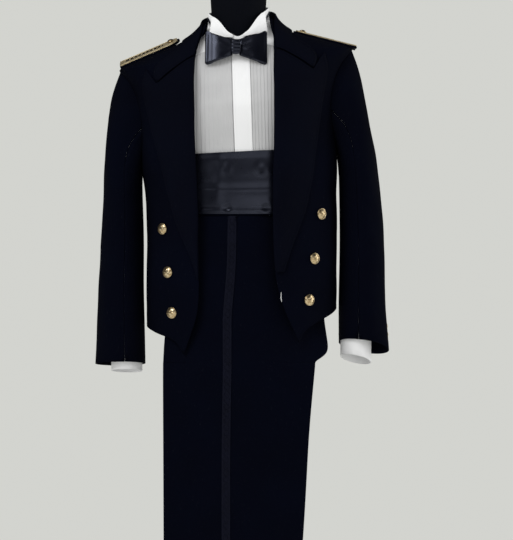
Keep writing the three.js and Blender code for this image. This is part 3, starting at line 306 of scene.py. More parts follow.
def softened(bm: bmesh.types.BMesh, name: str, levels: int) -> bpy.types.Mesh:
    """The mesh as a subdivision surface that passes through its own corners.

    Args:
        bm: the coarse mesh.
        name: the new mesh's name.
        levels: how often each face is divided.

    Returns:
        The fine mesh. Its control points are pushed out by what the smoothing takes away, so that borders and
        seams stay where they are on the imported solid.
    """
    mesh = bpy.data.meshes.new(name)
    bm.to_mesh(mesh)
    holder = bpy.data.objects.new(name, mesh)
    bpy.context.scene.collection.objects.link(holder)
    modifier = holder.modifiers.new("Soft", "SUBSURF")
    modifier.levels = modifier.render_levels = levels
    wanted = coordinates(mesh)
    control = wanted.copy()
    for _ in range(CORRECTIONS):
        bpy.context.view_layer.update()
        fine = holder.evaluated_get(bpy.context.evaluated_depsgraph_get()).data
        control += CORRECTION_SHARE * (wanted - coordinates(fine)[: len(wanted)])
        mesh.vertices.foreach_set("co", control.ravel())
        mesh.update()
    graph = bpy.context.evaluated_depsgraph_get()
    result = bpy.data.meshes.new_from_object(holder.evaluated_get(graph))
    bpy.data.objects.remove(holder)
    bpy.data.meshes.remove(mesh)
    result.name = name
    return result


def coordinates(mesh: bpy.types.Mesh) -> np.ndarray:
    """The mesh's points as n rows of x, y, z.

    Args:
        mesh: the mesh.

    Returns:
        The points.
    """
    values = np.empty(len(mesh.vertices) * 3)
    mesh.vertices.foreach_get("co", values)
    return values.reshape(-1, 3)


def mesh_of(name: str, points: np.ndarray, faces: list[tuple[int, ...]]) -> bpy.types.Mesh:
    """A new smooth mesh from points and faces.

    Args:
        name: the new mesh's name.
        points: n rows of x, y, z.
        faces: its faces, as rows of the points' numbers.

    Returns:
        The mesh.
    """
    mesh = bpy.data.meshes.new(name)
    mesh.from_pydata([tuple(p) for p in points], [], faces)
    mesh.validate()
    mesh.shade_smooth()
    return mesh


def place_threads(mesh: bpy.types.Mesh, places: np.ndarray) -> None:
    """Keeps where each point lies on the flat cloth, for the weave, in place of an earlier layout.

    Args:
        mesh: the mesh.
        places: n rows of the distance across and the distance up.
    """
    earlier = mesh.attributes.get(THREAD_PLACE)
    if earlier is not None:
        mesh.attributes.remove(earlier)
    attribute = mesh.attributes.new(THREAD_PLACE, "FLOAT_VECTOR", "POINT")
    values = np.zeros((len(places), 3), np.float32)
    values[:, : places.shape[1]] = places
    attribute.data.foreach_set("vector", values.ravel())


def shell(outer: np.ndarray, inner: np.ndarray) -> tuple[np.ndarray, list[tuple[int, ...]]]:
    """A closed wall between two grids of points, given as rows of columns.

    Args:
        outer: the outer grid.
        inner: the inner grid.

    Returns:
        Points and faces of a closed body.
    """
    rows, columns = outer.shape[:2]
    points = np.concatenate([outer.reshape(-1, 3), inner.reshape(-1, 3)])
    grid = np.arange(rows * columns).reshape(rows, columns)
    back = grid + rows * columns
    faces: list[tuple[int, ...]] = []
    for i in range(rows - 1):
        for j in range(columns - 1):
            faces.append((grid[i, j], grid[i, j + 1], grid[i + 1, j + 1], grid[i + 1, j]))
            faces.append((back[i, j], back[i + 1, j], back[i + 1, j + 1], back[i, j + 1]))
    for j in range(columns - 1):
        faces.append((grid[0, j], back[0, j], back[0, j + 1], grid[0, j + 1]))
        faces.append((grid[-1, j], grid[-1, j + 1], back[-1, j + 1], back[-1, j]))
    for i in range(rows - 1):
        faces.append((grid[i, 0], grid[i + 1, 0], back[i + 1, 0], back[i, 0]))
        faces.append((grid[i, -1], back[i, -1], back[i + 1, -1], grid[i + 1, -1]))
    return points, [tuple(int(k) for k in face) for face in faces]


def turned(rings: np.ndarray) -> tuple[np.ndarray, list[tuple[int, ...]]]:
    """A closed body from rings of points, from its bottom to its top.

    Args:
        rings: the rings, each with as many points as the others.

    Returns:
        Points and faces of a closed body.
    """
    count, sides = rings.shape[:2]
    points = np.concatenate([rings.reshape(-1, 3), rings[0].mean(0)[None], rings[-1].mean(0)[None]])
    bottom, top = count * sides, count * sides + 1
    faces: list[tuple[int, ...]] = []
    for j in range(sides):
        following = (j + 1) % sides
        for i in range(count - 1):
            low, high = i * sides, (i + 1) * sides
            faces.append((low + j, low + following, high + following, high + j))
        last = (count - 1) * sides
        faces.append((bottom, following, j))
        faces.append((top, last + j, last + following))
    return points, faces


def tube(path: np.ndarray, radius: float, sides: int = 6, closed: bool = False, flat: float = 1.0,
         up: np.ndarray | None = None) -> tuple[np.ndarray, list[tuple[int, ...]]]:
    """A round or flattened tube along a path.

    Args:
        path: the points that it follows.
        radius: half its width.
        sides: corners of its section.
        closed: True where the path's end joins its start.
        flat: its height as a share of its width.
        up: the direction of its height, where it isn't round.

    Returns:
        Points and faces of a closed body.
    """
    ahead = np.roll(path, -1, 0) - np.roll(path, 1, 0) if closed else np.gradient(path, axis=0)
    ahead /= np.linalg.norm(ahead, axis=1)[:, None] + 1e-12
    guide = np.array([0.0, 0.0, 1.0]) if up is None else np.asarray(up, float)
    across = np.cross(ahead, guide)
    weak = np.linalg.norm(across, axis=1) < 0.05
    across[weak] = np.cross(ahead[weak], [0.3, 0.9, 0.1])
    across /= np.linalg.norm(across, axis=1)[:, None]
    rise = np.cross(across, ahead)
    turns = 2 * math.pi * (np.arange(sides) + 0.5) / sides
    rings = (path[:, None] + radius * np.cos(turns)[None, :, None] * across[:, None]
             + radius * flat * np.sin(turns)[None, :, None] * rise[:, None])
    if not closed:
        return turned(rings)
    count = len(path)
    faces = []
    for i in range(count):
        for j in range(sides):
            following, beyond = (j + 1) % sides, (i + 1) % count
            faces.append((i * sides + j, i * sides + following, beyond * sides + following, beyond * sides + j))
    return rings.reshape(-1, 3), faces


def joined(parts: Iterable[tuple[np.ndarray, list[tuple[int, ...]]]]) -> tuple[np.ndarray, list[tuple[int, ...]]]:
    """Several bodies as one list of points and faces.

    Args:
        parts: the bodies, each as its points and faces.

    Returns:
        The points and faces.
    """
    points, faces, count = [], [], 0
    for body, corners in parts:
        points.append(body)
        faces.extend(tuple(k + count for k in face) for face in corners)
        count += len(body)
    return np.concatenate(points), faces


def resampled(path: np.ndarray, pitch: float) -> np.ndarray:
    """Points at an even pitch along a path.

    Args:
        path: the points of the path.
        pitch: the distance between points.

    Returns:
        The new points.
    """
    steps = np.linalg.norm(np.diff(path, axis=0), axis=1)
    reach = np.concatenate([[0.0], np.cumsum(steps)])
    count = max(2, int(reach[-1] / pitch) + 1)
    at = np.linspace(0.0, reach[-1], count)
    return np.stack([np.interp(at, reach, path[:, k]) for k in range(3)], 1)


@dataclass
class Run:
    """A run of a cloth's border between two corners: its points, and the way in from each."""

    points: np.ndarray
    inward: np.ndarray

    @property
    def middle(self) -> Vector:
        """The mean of the run's points."""
        return Vector(self.points.mean(0))

    def inset(self, distance: float) -> np.ndarray:
        """The run moved in from the border."""
        return self.points + self.inward * distance


def border_runs(bm: bmesh.types.BMesh, chart: Chart) -> list[Run]:
    """The border of the face that shows, as runs that end at its corners.

    Args:
        bm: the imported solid.
        chart: which way the cloth faces.

    Returns:
        The runs.
    """
    ways: dict[int, list[tuple[bmesh.types.BMVert, Vector]]] = {}
    bm.verts.ensure_lookup_table()
    for edge in bm.edges:
        if len(edge.link_faces) != 2 or edge.calc_face_angle(0.0) < RIM_ANGLE:
            continue
        face = max(edge.link_faces, key=lambda f: f.calc_area())
        middle = (edge.verts[0].co + edge.verts[1].co) / 2
        out = Vector(chart.out(np.array([middle]))[0])
        if face.normal.dot(out) < 0.15:
            continue
        inward = face.normal.cross(edge.verts[1].co - edge.verts[0].co).normalized()
        if inward.dot(face.calc_center_median() - middle) < 0:
            inward.negate()
        a, b = edge.verts
        ways.setdefault(a.index, []).append((b, inward))
        ways.setdefault(b.index, []).append((a, inward))
    runs: list[Run] = []
    used: set[tuple[int, int]] = set()

    def walk(start: int, following: bmesh.types.BMVert, inward: Vector) -> None:
        """Follows the border from one vertex until it turns a corner.

        Args:
            start: the number of the vertex it starts from.
            following: the vertex it goes to.
            inward: the way in from the border.
        """
        points, inwards = [bm.verts[start].co.copy()], [inward]
        previous, here = start, following
        while True:
            used.update({(previous, here.index), (here.index, previous)})
            points.append(here.co.copy())
            inwards.append(inward)
            onward = [w for w in ways[here.index] if (here.index, w[0].index) not in used]
            if len(onward) != 1:
                break
            before = points[-1] - points[-2]
            after = onward[0][0].co - here.co
            if before.angle(after, 0.0) > CORNER_ANGLE:
                break
            previous, (here, inward) = here.index, onward[0]
        runs.append(Run(np.array(points), np.array(inwards)))

    def is_corner(index: int) -> bool:
        """True where the border turns sharply, or ends.

        Args:
            index: the vertex's number.

        Returns:
            True at a corner.
        """
        if len(ways[index]) != 2:
            return True
        here = bm.verts[index].co
        return (here - ways[index][0][0].co).angle(ways[index][1][0].co - here, 0.0) > CORNER_ANGLE

    for only_corners in (True, False):
        for index in ways:
            if only_corners and not is_corner(index):
                continue
            for following, inward in ways[index]:
                if (index, following.index) not in used:
                    walk(index, following, inward)
    return runs


# ---------------------------------------------------------------- finishes


class Weave(Enum):
    """How the threads of a cloth cross: share of diagonal lines, and stretch of a float."""

    PLAIN = (0.0, 1.0)
    TWILL = (1.0, 1.0)
    SATIN = (0.8, 0.2)
    KNIT = (0.35, 0.6)


class NodeTree:
    """Lays out the nodes of a material or a group."""

    def __init__(self, tree: bpy.types.NodeTree) -> None:
        """Takes an empty tree."""
        self.tree = tree

    def add(self, kind: str, **settings: object) -> bpy.types.Node:
        """A new node with these settings.

        Args:
            kind: the node's type.
            settings: its properties.

        Returns:
            The node.
        """
        node = self.tree.nodes.new(kind)
        for key, value in settings.items():
            setattr(node, key, value)
        return node

    def put(self, socket: bpy.types.NodeSocket, value: object) -> None:
        """Links a socket to another, or sets its own value.

        Args:
            socket: the input.
            value: a socket, or a plain value.
        """
        if isinstance(value, bpy.types.NodeSocket):
            self.tree.links.new(value, socket)
        else:
            socket.default_value = value

    def math(self, operation: str, *values: object) -> bpy.types.NodeSocket:
        """A Math node's result.

        Args:
            operation: the node's operation.
            values: its inputs, in order.

        Returns:
            The output socket.
        """
        node = self.add("ShaderNodeMath", operation=operation)
        for socket, value in zip(node.inputs, values):
            self.put(socket, value)
        return node.outputs[0]

    def mixed(self, factor: object, first: object, second: object) -> bpy.types.NodeSocket:
        """A mix of two colours.

        Args:
            factor: share of the second colour.
            first: the first colour.
            second: the second colour.

        Returns:
            The output socket.
        """
        node = self.add("ShaderNodeMix", data_type="RGBA", clamp_factor=True)
        self.put(node.inputs[0], factor)
        self.put(node.inputs[6], first)
        self.put(node.inputs[7], second)
        return node.outputs[2]

    def noise(self, place: object, scale: float, detail: float = 3.0) -> bpy.types.NodeSocket:
        """A noise value.

        Args:
            place: where the noise is read.
            scale: its scale.
            detail: its octaves.

        Returns:
            The output socket.
        """
        node = self.add("ShaderNodeTexNoise")
        node.inputs["Scale"].default_value = scale
        node.inputs["Detail"].default_value = detail
        self.put(node.inputs["Vector"], place)
        return node.outputs[0]

    def ranged(self, value: object, low: float, high: float, to_low: float = 0.0,
               to_high: float = 1.0) -> bpy.types.NodeSocket:
        """A value stretched from one range to another, and kept in it.

        Args:
            value: a socket, or a plain value.
            low: start of the first range.
            high: end of the first range.
            to_low: start of the new range.
            to_high: end of the new range.

        Returns:
            The output socket.
        """
        node = self.add("ShaderNodeMapRange", clamp=True)
        for key, number in (("From Min", low), ("From Max", high), ("To Min", to_low), ("To Max", to_high)):
            node.inputs[key].default_value = number
        self.put(node.inputs["Value"], value)
        return node.outputs[0]


def new_group(name: str, inputs: Sequence[tuple[str, str, float]], outputs: Sequence[str]
              ) -> tuple[NodeTree, dict[str, bpy.types.NodeSocket], bpy.types.Node]:
    """A shader node group with named sockets.

    Args:
        name: the group's name.
        inputs: name, socket type and first value of each input.
        outputs: names of its outputs, which are values.

    Returns:
        Its tree, its inputs by name, and its output node.
    """
    group = bpy.data.node_groups.new(name, "ShaderNodeTree")
    for key, kind, value in inputs:
        socket = group.interface.new_socket(name=key, in_out="INPUT", socket_type=kind)
        if kind == "NodeSocketFloat":
            socket.default_value = value
    for key in outputs:
        group.interface.new_socket(name=key, in_out="OUTPUT", socket_type="NodeSocketFloat")
    tree = NodeTree(group)
    start = tree.add("NodeGroupInput")
    return tree, {socket.name: socket for socket in start.outputs}, tree.add("NodeGroupOutput")


def weave_group() -> bpy.types.NodeTree:
    """Crossing threads: their height, and a mask of the ones on top.

    Returns:
        The group.
    """
    tree, given, end = new_group(
        "woven_threads",
        [("Place", "NodeSocketVector", 0), ("Threads", "NodeSocketFloat", 1000.0),
         ("Twill", "NodeSocketFloat", 0.0), ("Float", "NodeSocketFloat", 1.0)],
        ["Height", "On Top"],
    )
    split = tree.add("ShaderNodeSeparateXYZ")
    tree.put(split.inputs[0], given["Place"])
    wobble = tree.noise(given["Place"], 90.0, 2.0)
    u = tree.math("MULTIPLY", split.outputs[0], given["Threads"])
    v = tree.math("MULTIPLY", tree.math("MULTIPLY", split.outputs[1], given["Threads"]), given["Float"])
    u = tree.math("ADD", u, wobble)
    warp = tree.math("SINE", tree.math("MULTIPLY", u, math.pi))
    weft = tree.math("SINE", tree.math("MULTIPLY", v, math.pi))
    plain = tree.math("ABSOLUTE", tree.math("MULTIPLY", warp, weft))
    diagonal = tree.math("SINE", tree.math("MULTIPLY", tree.math("ADD", u, v), math.pi))
    diagonal = tree.math("MULTIPLY_ADD", diagonal, 0.5, 0.5)
    rest = tree.math("SUBTRACT", 1.0, given["Twill"])
    height = tree.math("ADD", tree.math("MULTIPLY", diagonal, given["Twill"]), tree.math("MULTIPLY", plain, rest))
    slub = tree.noise(given["Place"], 340.0, 2.0)
    tree.put(end.inputs["Height"], tree.math("MULTIPLY_ADD", slub, 0.35, height))
    tree.put(end.inputs["On Top"], tree.ranged(height, 0.25, 0.8))
    return tree.tree


def wear_group() -> bpy.types.NodeTree:
    """Uneven dye and loose fibres: a soft shade, and a mask of lint.

    Returns:
        The group.
    """
    tree, given, end = new_group(
        "uneven_dye", [("Scale", "NodeSocketFloat", 9.0), ("Lint", "NodeSocketFloat", 0.0)], ["Shade", "Lint"])
    place = tree.add("ShaderNodeTexCoord").outputs["Object"]
    node = tree.add("ShaderNodeTexNoise")
    node.inputs["Detail"].default_value = 4.0
    tree.put(node.inputs["Vector"], place)
    tree.put(node.inputs["Scale"], given["Scale"])
    tree.put(end.inputs["Shade"], tree.ranged(node.outputs[0], 0.3, 0.7))
    stretch = tree.add("ShaderNodeMapping")
    stretch.inputs["Scale"].default_value = (1.0, 1.0, 0.35)
    stretch.inputs["Rotation"].default_value = (0.3, 0.5, 0.2)
    tree.put(stretch.inputs["Vector"], place)
    specks = tree.noise(stretch.outputs[0], 700.0, 1.0)
    tree.put(end.inputs["Lint"], tree.math("MULTIPLY", tree.ranged(specks, 0.71, 0.76), given["Lint"]))
    return tree.tree


@dataclass(frozen=True)
class ClothFinish:
    """A woven cloth: its threads, colour and gloss."""

    slot: str
    name: str
    colour: tuple[float, float, float]
    # The darker tone: the low end of the uneven dye, and the painted shade in the weave's hollows.
    shade: tuple[float, float, float]
    roughness: float
    specular: float
    weave: Weave
    threads: float
    thread_height: float
    sheen: float = 0.0
    lint: float = 0.0
    metallic: float = 0.0
    tint: tuple[float, float, float] = (1.0, 1.0, 1.0)
    dye_scale: float = 9.0

    def material(self, groups: dict[str, bpy.types.NodeTree]) -> bpy.types.Material:
        """Makes the material.

        Args:
            groups: the shared node groups by name.

        Returns:
            The material.
        """
        made = bpy.data.materials.new(self.name)
        made.use_nodes = True
        tree = NodeTree(made.node_tree)
        shader = made.node_tree.nodes["Principled BSDF"]
        place = tree.add("ShaderNodeAttribute", attribute_name=THREAD_PLACE).outputs["Vector"]
        woven = tree.add("ShaderNodeGroup", node_tree=groups["weave"])
        tree.put(woven.inputs["Place"], place)
        woven.inputs["Threads"].default_value = self.threads
        woven.inputs["Twill"].default_value, woven.inputs["Float"].default_value = self.weave.value
        dye = tree.add("ShaderNodeGroup", node_tree=groups["dye"])
        dye.inputs["Scale"].default_value = self.dye_scale
        dye.inputs["Lint"].default_value = self.lint
        base = tree.mixed(dye.outputs["Shade"], (*self.shade, 1.0), (*self.colour, 1.0))
        # Where the weave lies low, between the threads on top, the colour goes towards the darker tone: painted shade
        # in the weave's hollows.
        thread = tree.mixed(woven.outputs["On Top"], (*self.shade, 1.0), base)
        base = tree.mixed(0.45, base, thread)
        if self.lint:
            base = tree.mixed(dye.outputs["Lint"], base, (0.10, 0.10, 0.12, 1.0))
        tree.put(shader.inputs["Base Color"], base)
        rough = tree.ranged(dye.outputs["Shade"], 0.0, 1.0, self.roughness - 0.05, min(1.0, self.roughness + 0.04))
        tree.put(shader.inputs["Roughness"], rough)
        shader.inputs["Specular IOR Level"].default_value = self.specular
        shader.inputs["Metallic"].default_value = self.metallic
        shader.inputs["Sheen Weight"].default_value = self.sheen
        shader.inputs["Sheen Roughness"].default_value = 0.45
        shader.inputs["Specular Tint"].default_value = (*self.tint, 1.0)
        bump = tree.add("ShaderNodeBump")
        bump.inputs["Strength"].default_value = 0.55
        bump.inputs["Distance"].default_value = self.thread_height
        tree.put(bump.inputs["Height"], woven.outputs["Height"])
        tree.put(shader.inputs["Normal"], bump.outputs[0])
        return made


@dataclass(frozen=True)
class MetalFinish:
    """A metal or lacquer: its tarnish, gloss and fine grain vary at random over it."""

    slot: str
    name: str
    colour: tuple[float, float, float]
    tarnish: tuple[float, float, float]
    roughness: float
    metallic: float
    grain: float
    grain_height: float

    def material(self, groups: dict[str, bpy.types.NodeTree]) -> bpy.types.Material:
        """Makes the material from the shared node groups.

        Args:
            groups: the shared node groups by name.

        Returns:
            The material.
        """
        made = bpy.data.materials.new(self.name)
        made.use_nodes = True
        tree = NodeTree(made.node_tree)
        shader = made.node_tree.nodes["Principled BSDF"]
        dye = tree.add("ShaderNodeGroup", node_tree=groups["dye"])
        dye.inputs["Scale"].default_value = self.grain
        tree.put(shader.inputs["Base Color"],
                 tree.mixed(dye.outputs["Shade"], (*self.tarnish, 1.0), (*self.colour, 1.0)))
        tree.put(shader.inputs["Roughness"],
                 tree.ranged(dye.outputs["Shade"], 0.0, 1.0, min(1.0, self.roughness + 0.14), self.roughness))
        shader.inputs["Metallic"].default_value = self.metallic
        bump = tree.add("ShaderNodeBump")
        bump.inputs["Strength"].default_value = 0.35
        bump.inputs["Distance"].default_value = self.grain_height
        place = tree.add("ShaderNodeTexCoord").outputs["Object"]
        tree.put(bump.inputs["Height"], tree.noise(place, self.grain * 6.0))
        tree.put(shader.inputs["Normal"], bump.outputs[0])
        return made


Finish = ClothFinish | MetalFinish

WOOL = ClothFinish("wool", "navy_wool", (0.0012, 0.0019, 0.0062), (0.0008, 0.0012, 0.0043), 0.94, 0.035,
                   Weave.TWILL, 1500.0, 0.00012, lint=0.06)
LAPEL = ClothFinish("lapel", "lapel_wool", (0.0014, 0.0021, 0.0066), (0.0009, 0.0013, 0.0046), 0.88, 0.045,
                    Weave.TWILL, 1700.0, 0.0001, lint=0.05)
SHIRT = ClothFinish("shirt", "white_shirting", (0.90, 0.905, 0.905), (0.85, 0.855, 0.86), 0.82, 0.25,
                    Weave.PLAIN, 2400.0, 0.00006, sheen=0.05, dye_scale=14.0)
# White shirting painted grey: painted shade between the fine pleats, and the dark form showing through the thin
# cotton.
SHIRTING_PAINTED_SHADE = ClothFinish("bib", "pleated_shirting", (0.56, 0.562, 0.564), (0.50, 0.502, 0.506), 0.88, 0.2,
                  Weave.PLAIN, 2400.0, 0.00006, dye_scale=20.0)
SATIN = ClothFinish("satin", "navy_satin", (0.0012, 0.0016, 0.0050), (0.0008, 0.0011, 0.0036), 0.30, 0.55,
                    Weave.SATIN, 5200.0, 0.00002, tint=(0.70, 0.76, 1.0), dye_scale=30.0)
BRAID = ClothFinish("braid", "navy_braid", (0.0030, 0.0036, 0.0110), (0.0016, 0.0020, 0.0066), 0.60, 0.12,
                    Weave.TWILL, 900.0, 0.00022, tint=(0.75, 0.78, 1.0), dye_scale=60.0)
LACE = ClothFinish("lace", "gold_lace", (0.86, 0.76, 0.53), (0.46, 0.36, 0.19), 0.42, 0.5,
                   Weave.TWILL, 850.0, 0.0003, metallic=0.7, dye_scale=160.0)
LACE_DARK = ClothFinish("lace", "board_ground", (0.0040, 0.0044, 0.0070), (0.0024, 0.0026, 0.0044), 0.8, 0.1,
                        Weave.TWILL, 900.0, 0.0002, dye_scale=60.0)
JERSEY = ClothFinish("form", "black_jersey", (0.0026, 0.0034, 0.0062), (0.0016, 0.0021, 0.0042), 0.86, 0.07,
                     Weave.KNIT, 1300.0, 0.00015, lint=0.03)
GILT = MetalFinish("gilt", "gilt", (0.93, 0.78, 0.50), (0.46, 0.31, 0.14), 0.24, 1.0, 260.0, 0.00008)
STAND = MetalFinish("stand", "black_lacquer", (0.012, 0.012, 0.014), (0.006, 0.006, 0.007), 0.34, 0.2, 40.0,
                    0.00005)


class Wardrobe:
    """Keeps the materials and puts finished pieces on the body."""

    def __init__(self) -> None:
        """Makes the shared node groups."""
        self.groups = {"weave": weave_group(), "dye": wear_group()}
        self.materials: dict[str, bpy.types.Material] = {}

    def material(self, finish: Finish) -> bpy.types.Material:
        """The material of a finish, made once.

        Args:
            finish: what the piece is made of.

        Returns:
            The material.
        """
        if finish.name not in self.materials:
            self.materials[finish.name] = finish.material(self.groups)
        return self.materials[finish.name]

    def dress(self, name: str, mesh: bpy.types.Mesh, finish: Finish, nodes: Sequence[str] = ()) -> bpy.types.Object:
        """Makes a piece from a mesh, gives it its finish and lets it ride on the body.

        Args:
            name: the piece's name.
            mesh: its mesh, in the row frame.
            finish: what it is made of.
            nodes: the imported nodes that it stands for.

        Returns:
            The piece.
        """
        mesh.shade_smooth()
        mesh.materials.clear()
        mesh.materials.append(self.material(finish))
        piece = bpy.data.objects.new(name, mesh)
        bpy.context.scene.collection.objects.link(piece)
        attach(piece, ROOT)
        if nodes:
            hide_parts(*nodes)
        log.info("%s: %d faces", name, len(mesh.polygons))
        return piece


# ---------------------------------------------------------------- cloth pieces


@dataclass(frozen=True)
class Hem:
    """A row of stitches along the border runs that it picks."""

    word: str
    pick: Callable[[Vector], bool]
    inset: float
    pitch: float = 0.0042
    radius: float = 0.00028


@dataclass(frozen=True)
class Cut:
    """What a sheet was cut to, and how it is held."""

    width: float
    length: float
    area: float
    held: Held
    rests_on: tuple[str, ...]


@dataclass
class Cloth:
    """One sewn piece of cloth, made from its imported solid."""

    node: str
    finish: ClothFinish
    drape: Drape
    cut: Cut | None = None
    levels: int = 2
    edge: float = 0.0005
    hems: tuple[Hem, ...] = ()

    def build(self, wardrobe: Wardrobe) -> bpy.types.Object:
        """Builds the piece and its rows of stitches.

        Args:
            wardrobe: dresses the pieces.

        Returns:
            The piece.
        """
        bm = quad_copy(self.node)
        runs = border_runs(bm, self.drape.chart) if self.hems else []
        rims = [e for e in bm.edges if len(e.link_faces) == 2 and e.calc_face_angle(0.0) > RIM_ANGLE]
        rounded = bmesh.ops.bevel(bm, geom=rims, offset=self.edge, segments=1, affect="EDGES", clamp_overlap=True)
        chamfers = set(rounded["faces"])
        held_edge = bm.edges.layers.float.new("crease_edge")
        held_corner = bm.verts.layers.float.new("crease_vert")
        for edge in {e for face in chamfers for e in face.edges}:
            if sum(face in chamfers for face in edge.link_faces) == 1:
                edge[held_edge] = 1.0
        for vert in {v for face in chamfers for v in face.verts}:
            ways = [e.other_vert(vert).co - vert.co for e in vert.link_edges if e[held_edge] > 0.5]
            if len(ways) != 2 or ways[0].angle(-ways[1], 0.0) > CORNER_ANGLE:
                vert[held_corner] = 1.0
        mesh = softened(bm, f"{self.node}_cloth", self.levels)
        bm.free()
        plain = coordinates(mesh)
        mesh.vertices.foreach_set("co", self.drape.moved(plain).ravel())
        place_threads(mesh, self.drape.chart.flat(plain))
        mesh.update()
        piece = wardrobe.dress(f"{self.node}_cloth", mesh, self.finish, [self.node])
        sewn = [row for row in (self.stitched(hem, runs, mesh, wardrobe) for hem in self.hems) if row is not None]
        return piece

    def stitched(self, hem: Hem, runs: Sequence[Run], mesh: bpy.types.Mesh,
                 wardrobe: Wardrobe) -> bpy.types.Object | None:
        """One row of stitches, laid on the finished cloth.

        Args:
            hem: where the stitches run.
            runs: the border of the cloth before its folds.
            mesh: the finished cloth.
            wardrobe: dresses the piece.

        Returns:
            The piece, or None where no run is picked.
        """
        picked = [run for run in runs if hem.pick(run.middle)]
        if not picked:
            log.warning("%s: no border for %s", self.node, hem.word)
            return None
        tree = surface_tree(mesh)
        bodies = []
        for run in picked:
            path = resampled(self.drape.moved(run.inset(hem.inset)), hem.pitch)
            for a, b in zip(path[:-1], path[1:]):
                middle = Vector((a + b) / 2)
                out = Vector(self.drape.chart.out(np.array([middle]))[0])
                hit = tree.ray_cast(middle + out * 0.012, -out, 0.03)
                if hit[0] is None:
                    hit = tree.find_nearest(middle)
                if hit[0] is None:
                    continue
                bodies.append(self.stitch(np.array(hit[0]), b - a, np.array(hit[1]), hem))
        if not bodies:
            return None
        points, faces = joined(bodies)
        name = f"{self.node}_{hem.word}_stitches"
        mesh_row = mesh_of(name, points, faces)
        place_threads(mesh_row, points[:, [0, 2]])
        return wardrobe.dress(name, mesh_row, self.finish)

    @staticmethod
    def stitch(centre: np.ndarray, way: np.ndarray, normal: np.ndarray,
               hem: Hem) -> tuple[np.ndarray, list[tuple[int, ...]]]:
        """One stitch: a short spindle of thread, half sunk into the cloth.

        Args:
            centre: the stitch's middle.
            way: the way it runs.
            normal: the way out of the cloth.
            hem: its pitch and radius.

        Returns:
            Points and faces of a closed body.
        """
        way = way / (np.linalg.norm(way) + 1e-12)
        across = np.cross(way, normal)
        across /= np.linalg.norm(across) + 1e-12
        rings = []
        for share, swell in ((-0.36, 0.35), (-0.18, 1.0), (0.18, 1.0), (0.36, 0.35)):
            middle = centre + way * hem.pitch * share + normal * hem.radius * 0.3
            turns = 2 * math.pi * np.arange(5) / 5
            rings.append(middle + swell * hem.radius * (np.cos(turns)[:, None] * across
                                                        + np.sin(turns)[:, None] * normal))
        return turned(np.array(rings))


# ---------------------------------------------------------------- jacket

BODY_FRONT = Chart(Facing.ROUND)
BODY_BACK = Chart(Facing.ROUND, zero=math.pi)


def jacket_ease(points: np.ndarray) -> np.ndarray:
    """The jacket hangs free below the armholes, and is held at the shoulders and neck.

    Args:
        points: n rows of x, y, z.

    Returns:
        One number for each point.
    """
    x, _, z = points.T
    at_armhole = smooth_step(np.abs(x), 0.140, 0.172) * smooth_step(z, 1.20, 1.26)
    at_shoulder = smooth_step(z, 1.42, 1.46)
    return (1.0 - at_armhole) * (1.0 - at_shoulder)


ARMHOLE_REACH, BOARD_REACH = 3.2 * MM, 2.2 * MM


def armhole_turning(points: np.ndarray) -> np.ndarray:
    """The cloth reaches under the sleeve's seam at the armhole, and up to the board along the shoulder.

    Args:
        points: n rows of x, y, z.

    Returns:
        How far each point moves.
    """
    x, _, z = points.T
    share = smooth_step(np.abs(x), 0.150, 0.180) * smooth_step(z, 1.20, 1.26)
    under_board = smooth_step(np.abs(x), 0.095, 0.118) * (1.0 - smooth_step(np.abs(x), 0.150, 0.180))
    rise = BOARD_REACH * under_board * smooth_step(z - LEAN * x, 1.455, 1.490)
    return np.stack([ARMHOLE_REACH * np.sign(x) * share, np.zeros_like(x), rise], 1)


FRONT_DRAPE = {
    Side.RIGHT: Drape(BODY_FRONT, folds(
        (205, 1405, 160, 1190, 24, -2.4, 8), (232, 1290, 222, 1090, 17, -2.6, -4),
        (184, 1235, 214, 1010, 20, 1.8, 6), (135, 1060, 176, 942, 15, -1.5, 3),
        (246, 1130, 238, 970, 13, -1.9), (196, 1110, 205, 955, 12, 1.3, -3),
        (120, 1000, 150, 930, 10, 1.1), (150, 1330, 140, 1210, 18, 1.2, 4),
    ), 0.0006, jacket_ease, shift=armhole_turning),
    Side.LEFT: Drape(BODY_FRONT, folds(
        (208, 1390, 170, 1170, 22, -2.0, 10), (228, 1270, 230, 1060, 19, -2.9, 3),
        (190, 1210, 205, 985, 17, 1.6, -5), (140, 1075, 168, 935, 16, -1.3, 4),
        (244, 1100, 232, 965, 11, -1.6), (178, 1090, 196, 950, 13, 1.4, 3),
        (118, 985, 142, 925, 9, 1.0), (146, 1300, 150, 1190, 16, 1.1, -4), mirror=True,
    ), 0.0006, jacket_ease, shift=armhole_turning),
}
BACK_DRAPE = Drape(BODY_BACK, folds(
    (-188, 1400, -140, 1190, 27, 2.4, 6), (-95, 1350, -70, 1110, 24, -2.2, -5), (-212, 1240, -196, 1010, 18, -2.6, 4),
    (-40, 1190, -24, 950, 15, 1.7), (-130, 1090, -122, 940, 16, -1.8, 3), (-232, 1120, -240, 965, 12, 1.5),
    (180, 1390, 128, 1170, 25, 2.1, -7), (100, 1335, 82, 1080, 26, -2.5, 4), (208, 1220, 190, 995, 17, -2.2, -3),
    (45, 1160, 30, 945, 14, 1.4), (140, 1070, 118, 938, 15, -1.6, -4), (238, 1140, 228, 970, 13, 1.7),
), 0.0007, jacket_ease, shift=armhole_turning)


def sleeve_ease(points: np.ndarray) -> np.ndarray:
    """A sleeve is held at its armhole, and flat on the side that hangs by the body."""
    x, _, z = points.T
    return smooth_step(np.abs(x), 0.205, 0.232) * (1.0 - smooth_step(z, 1.35, 1.42))


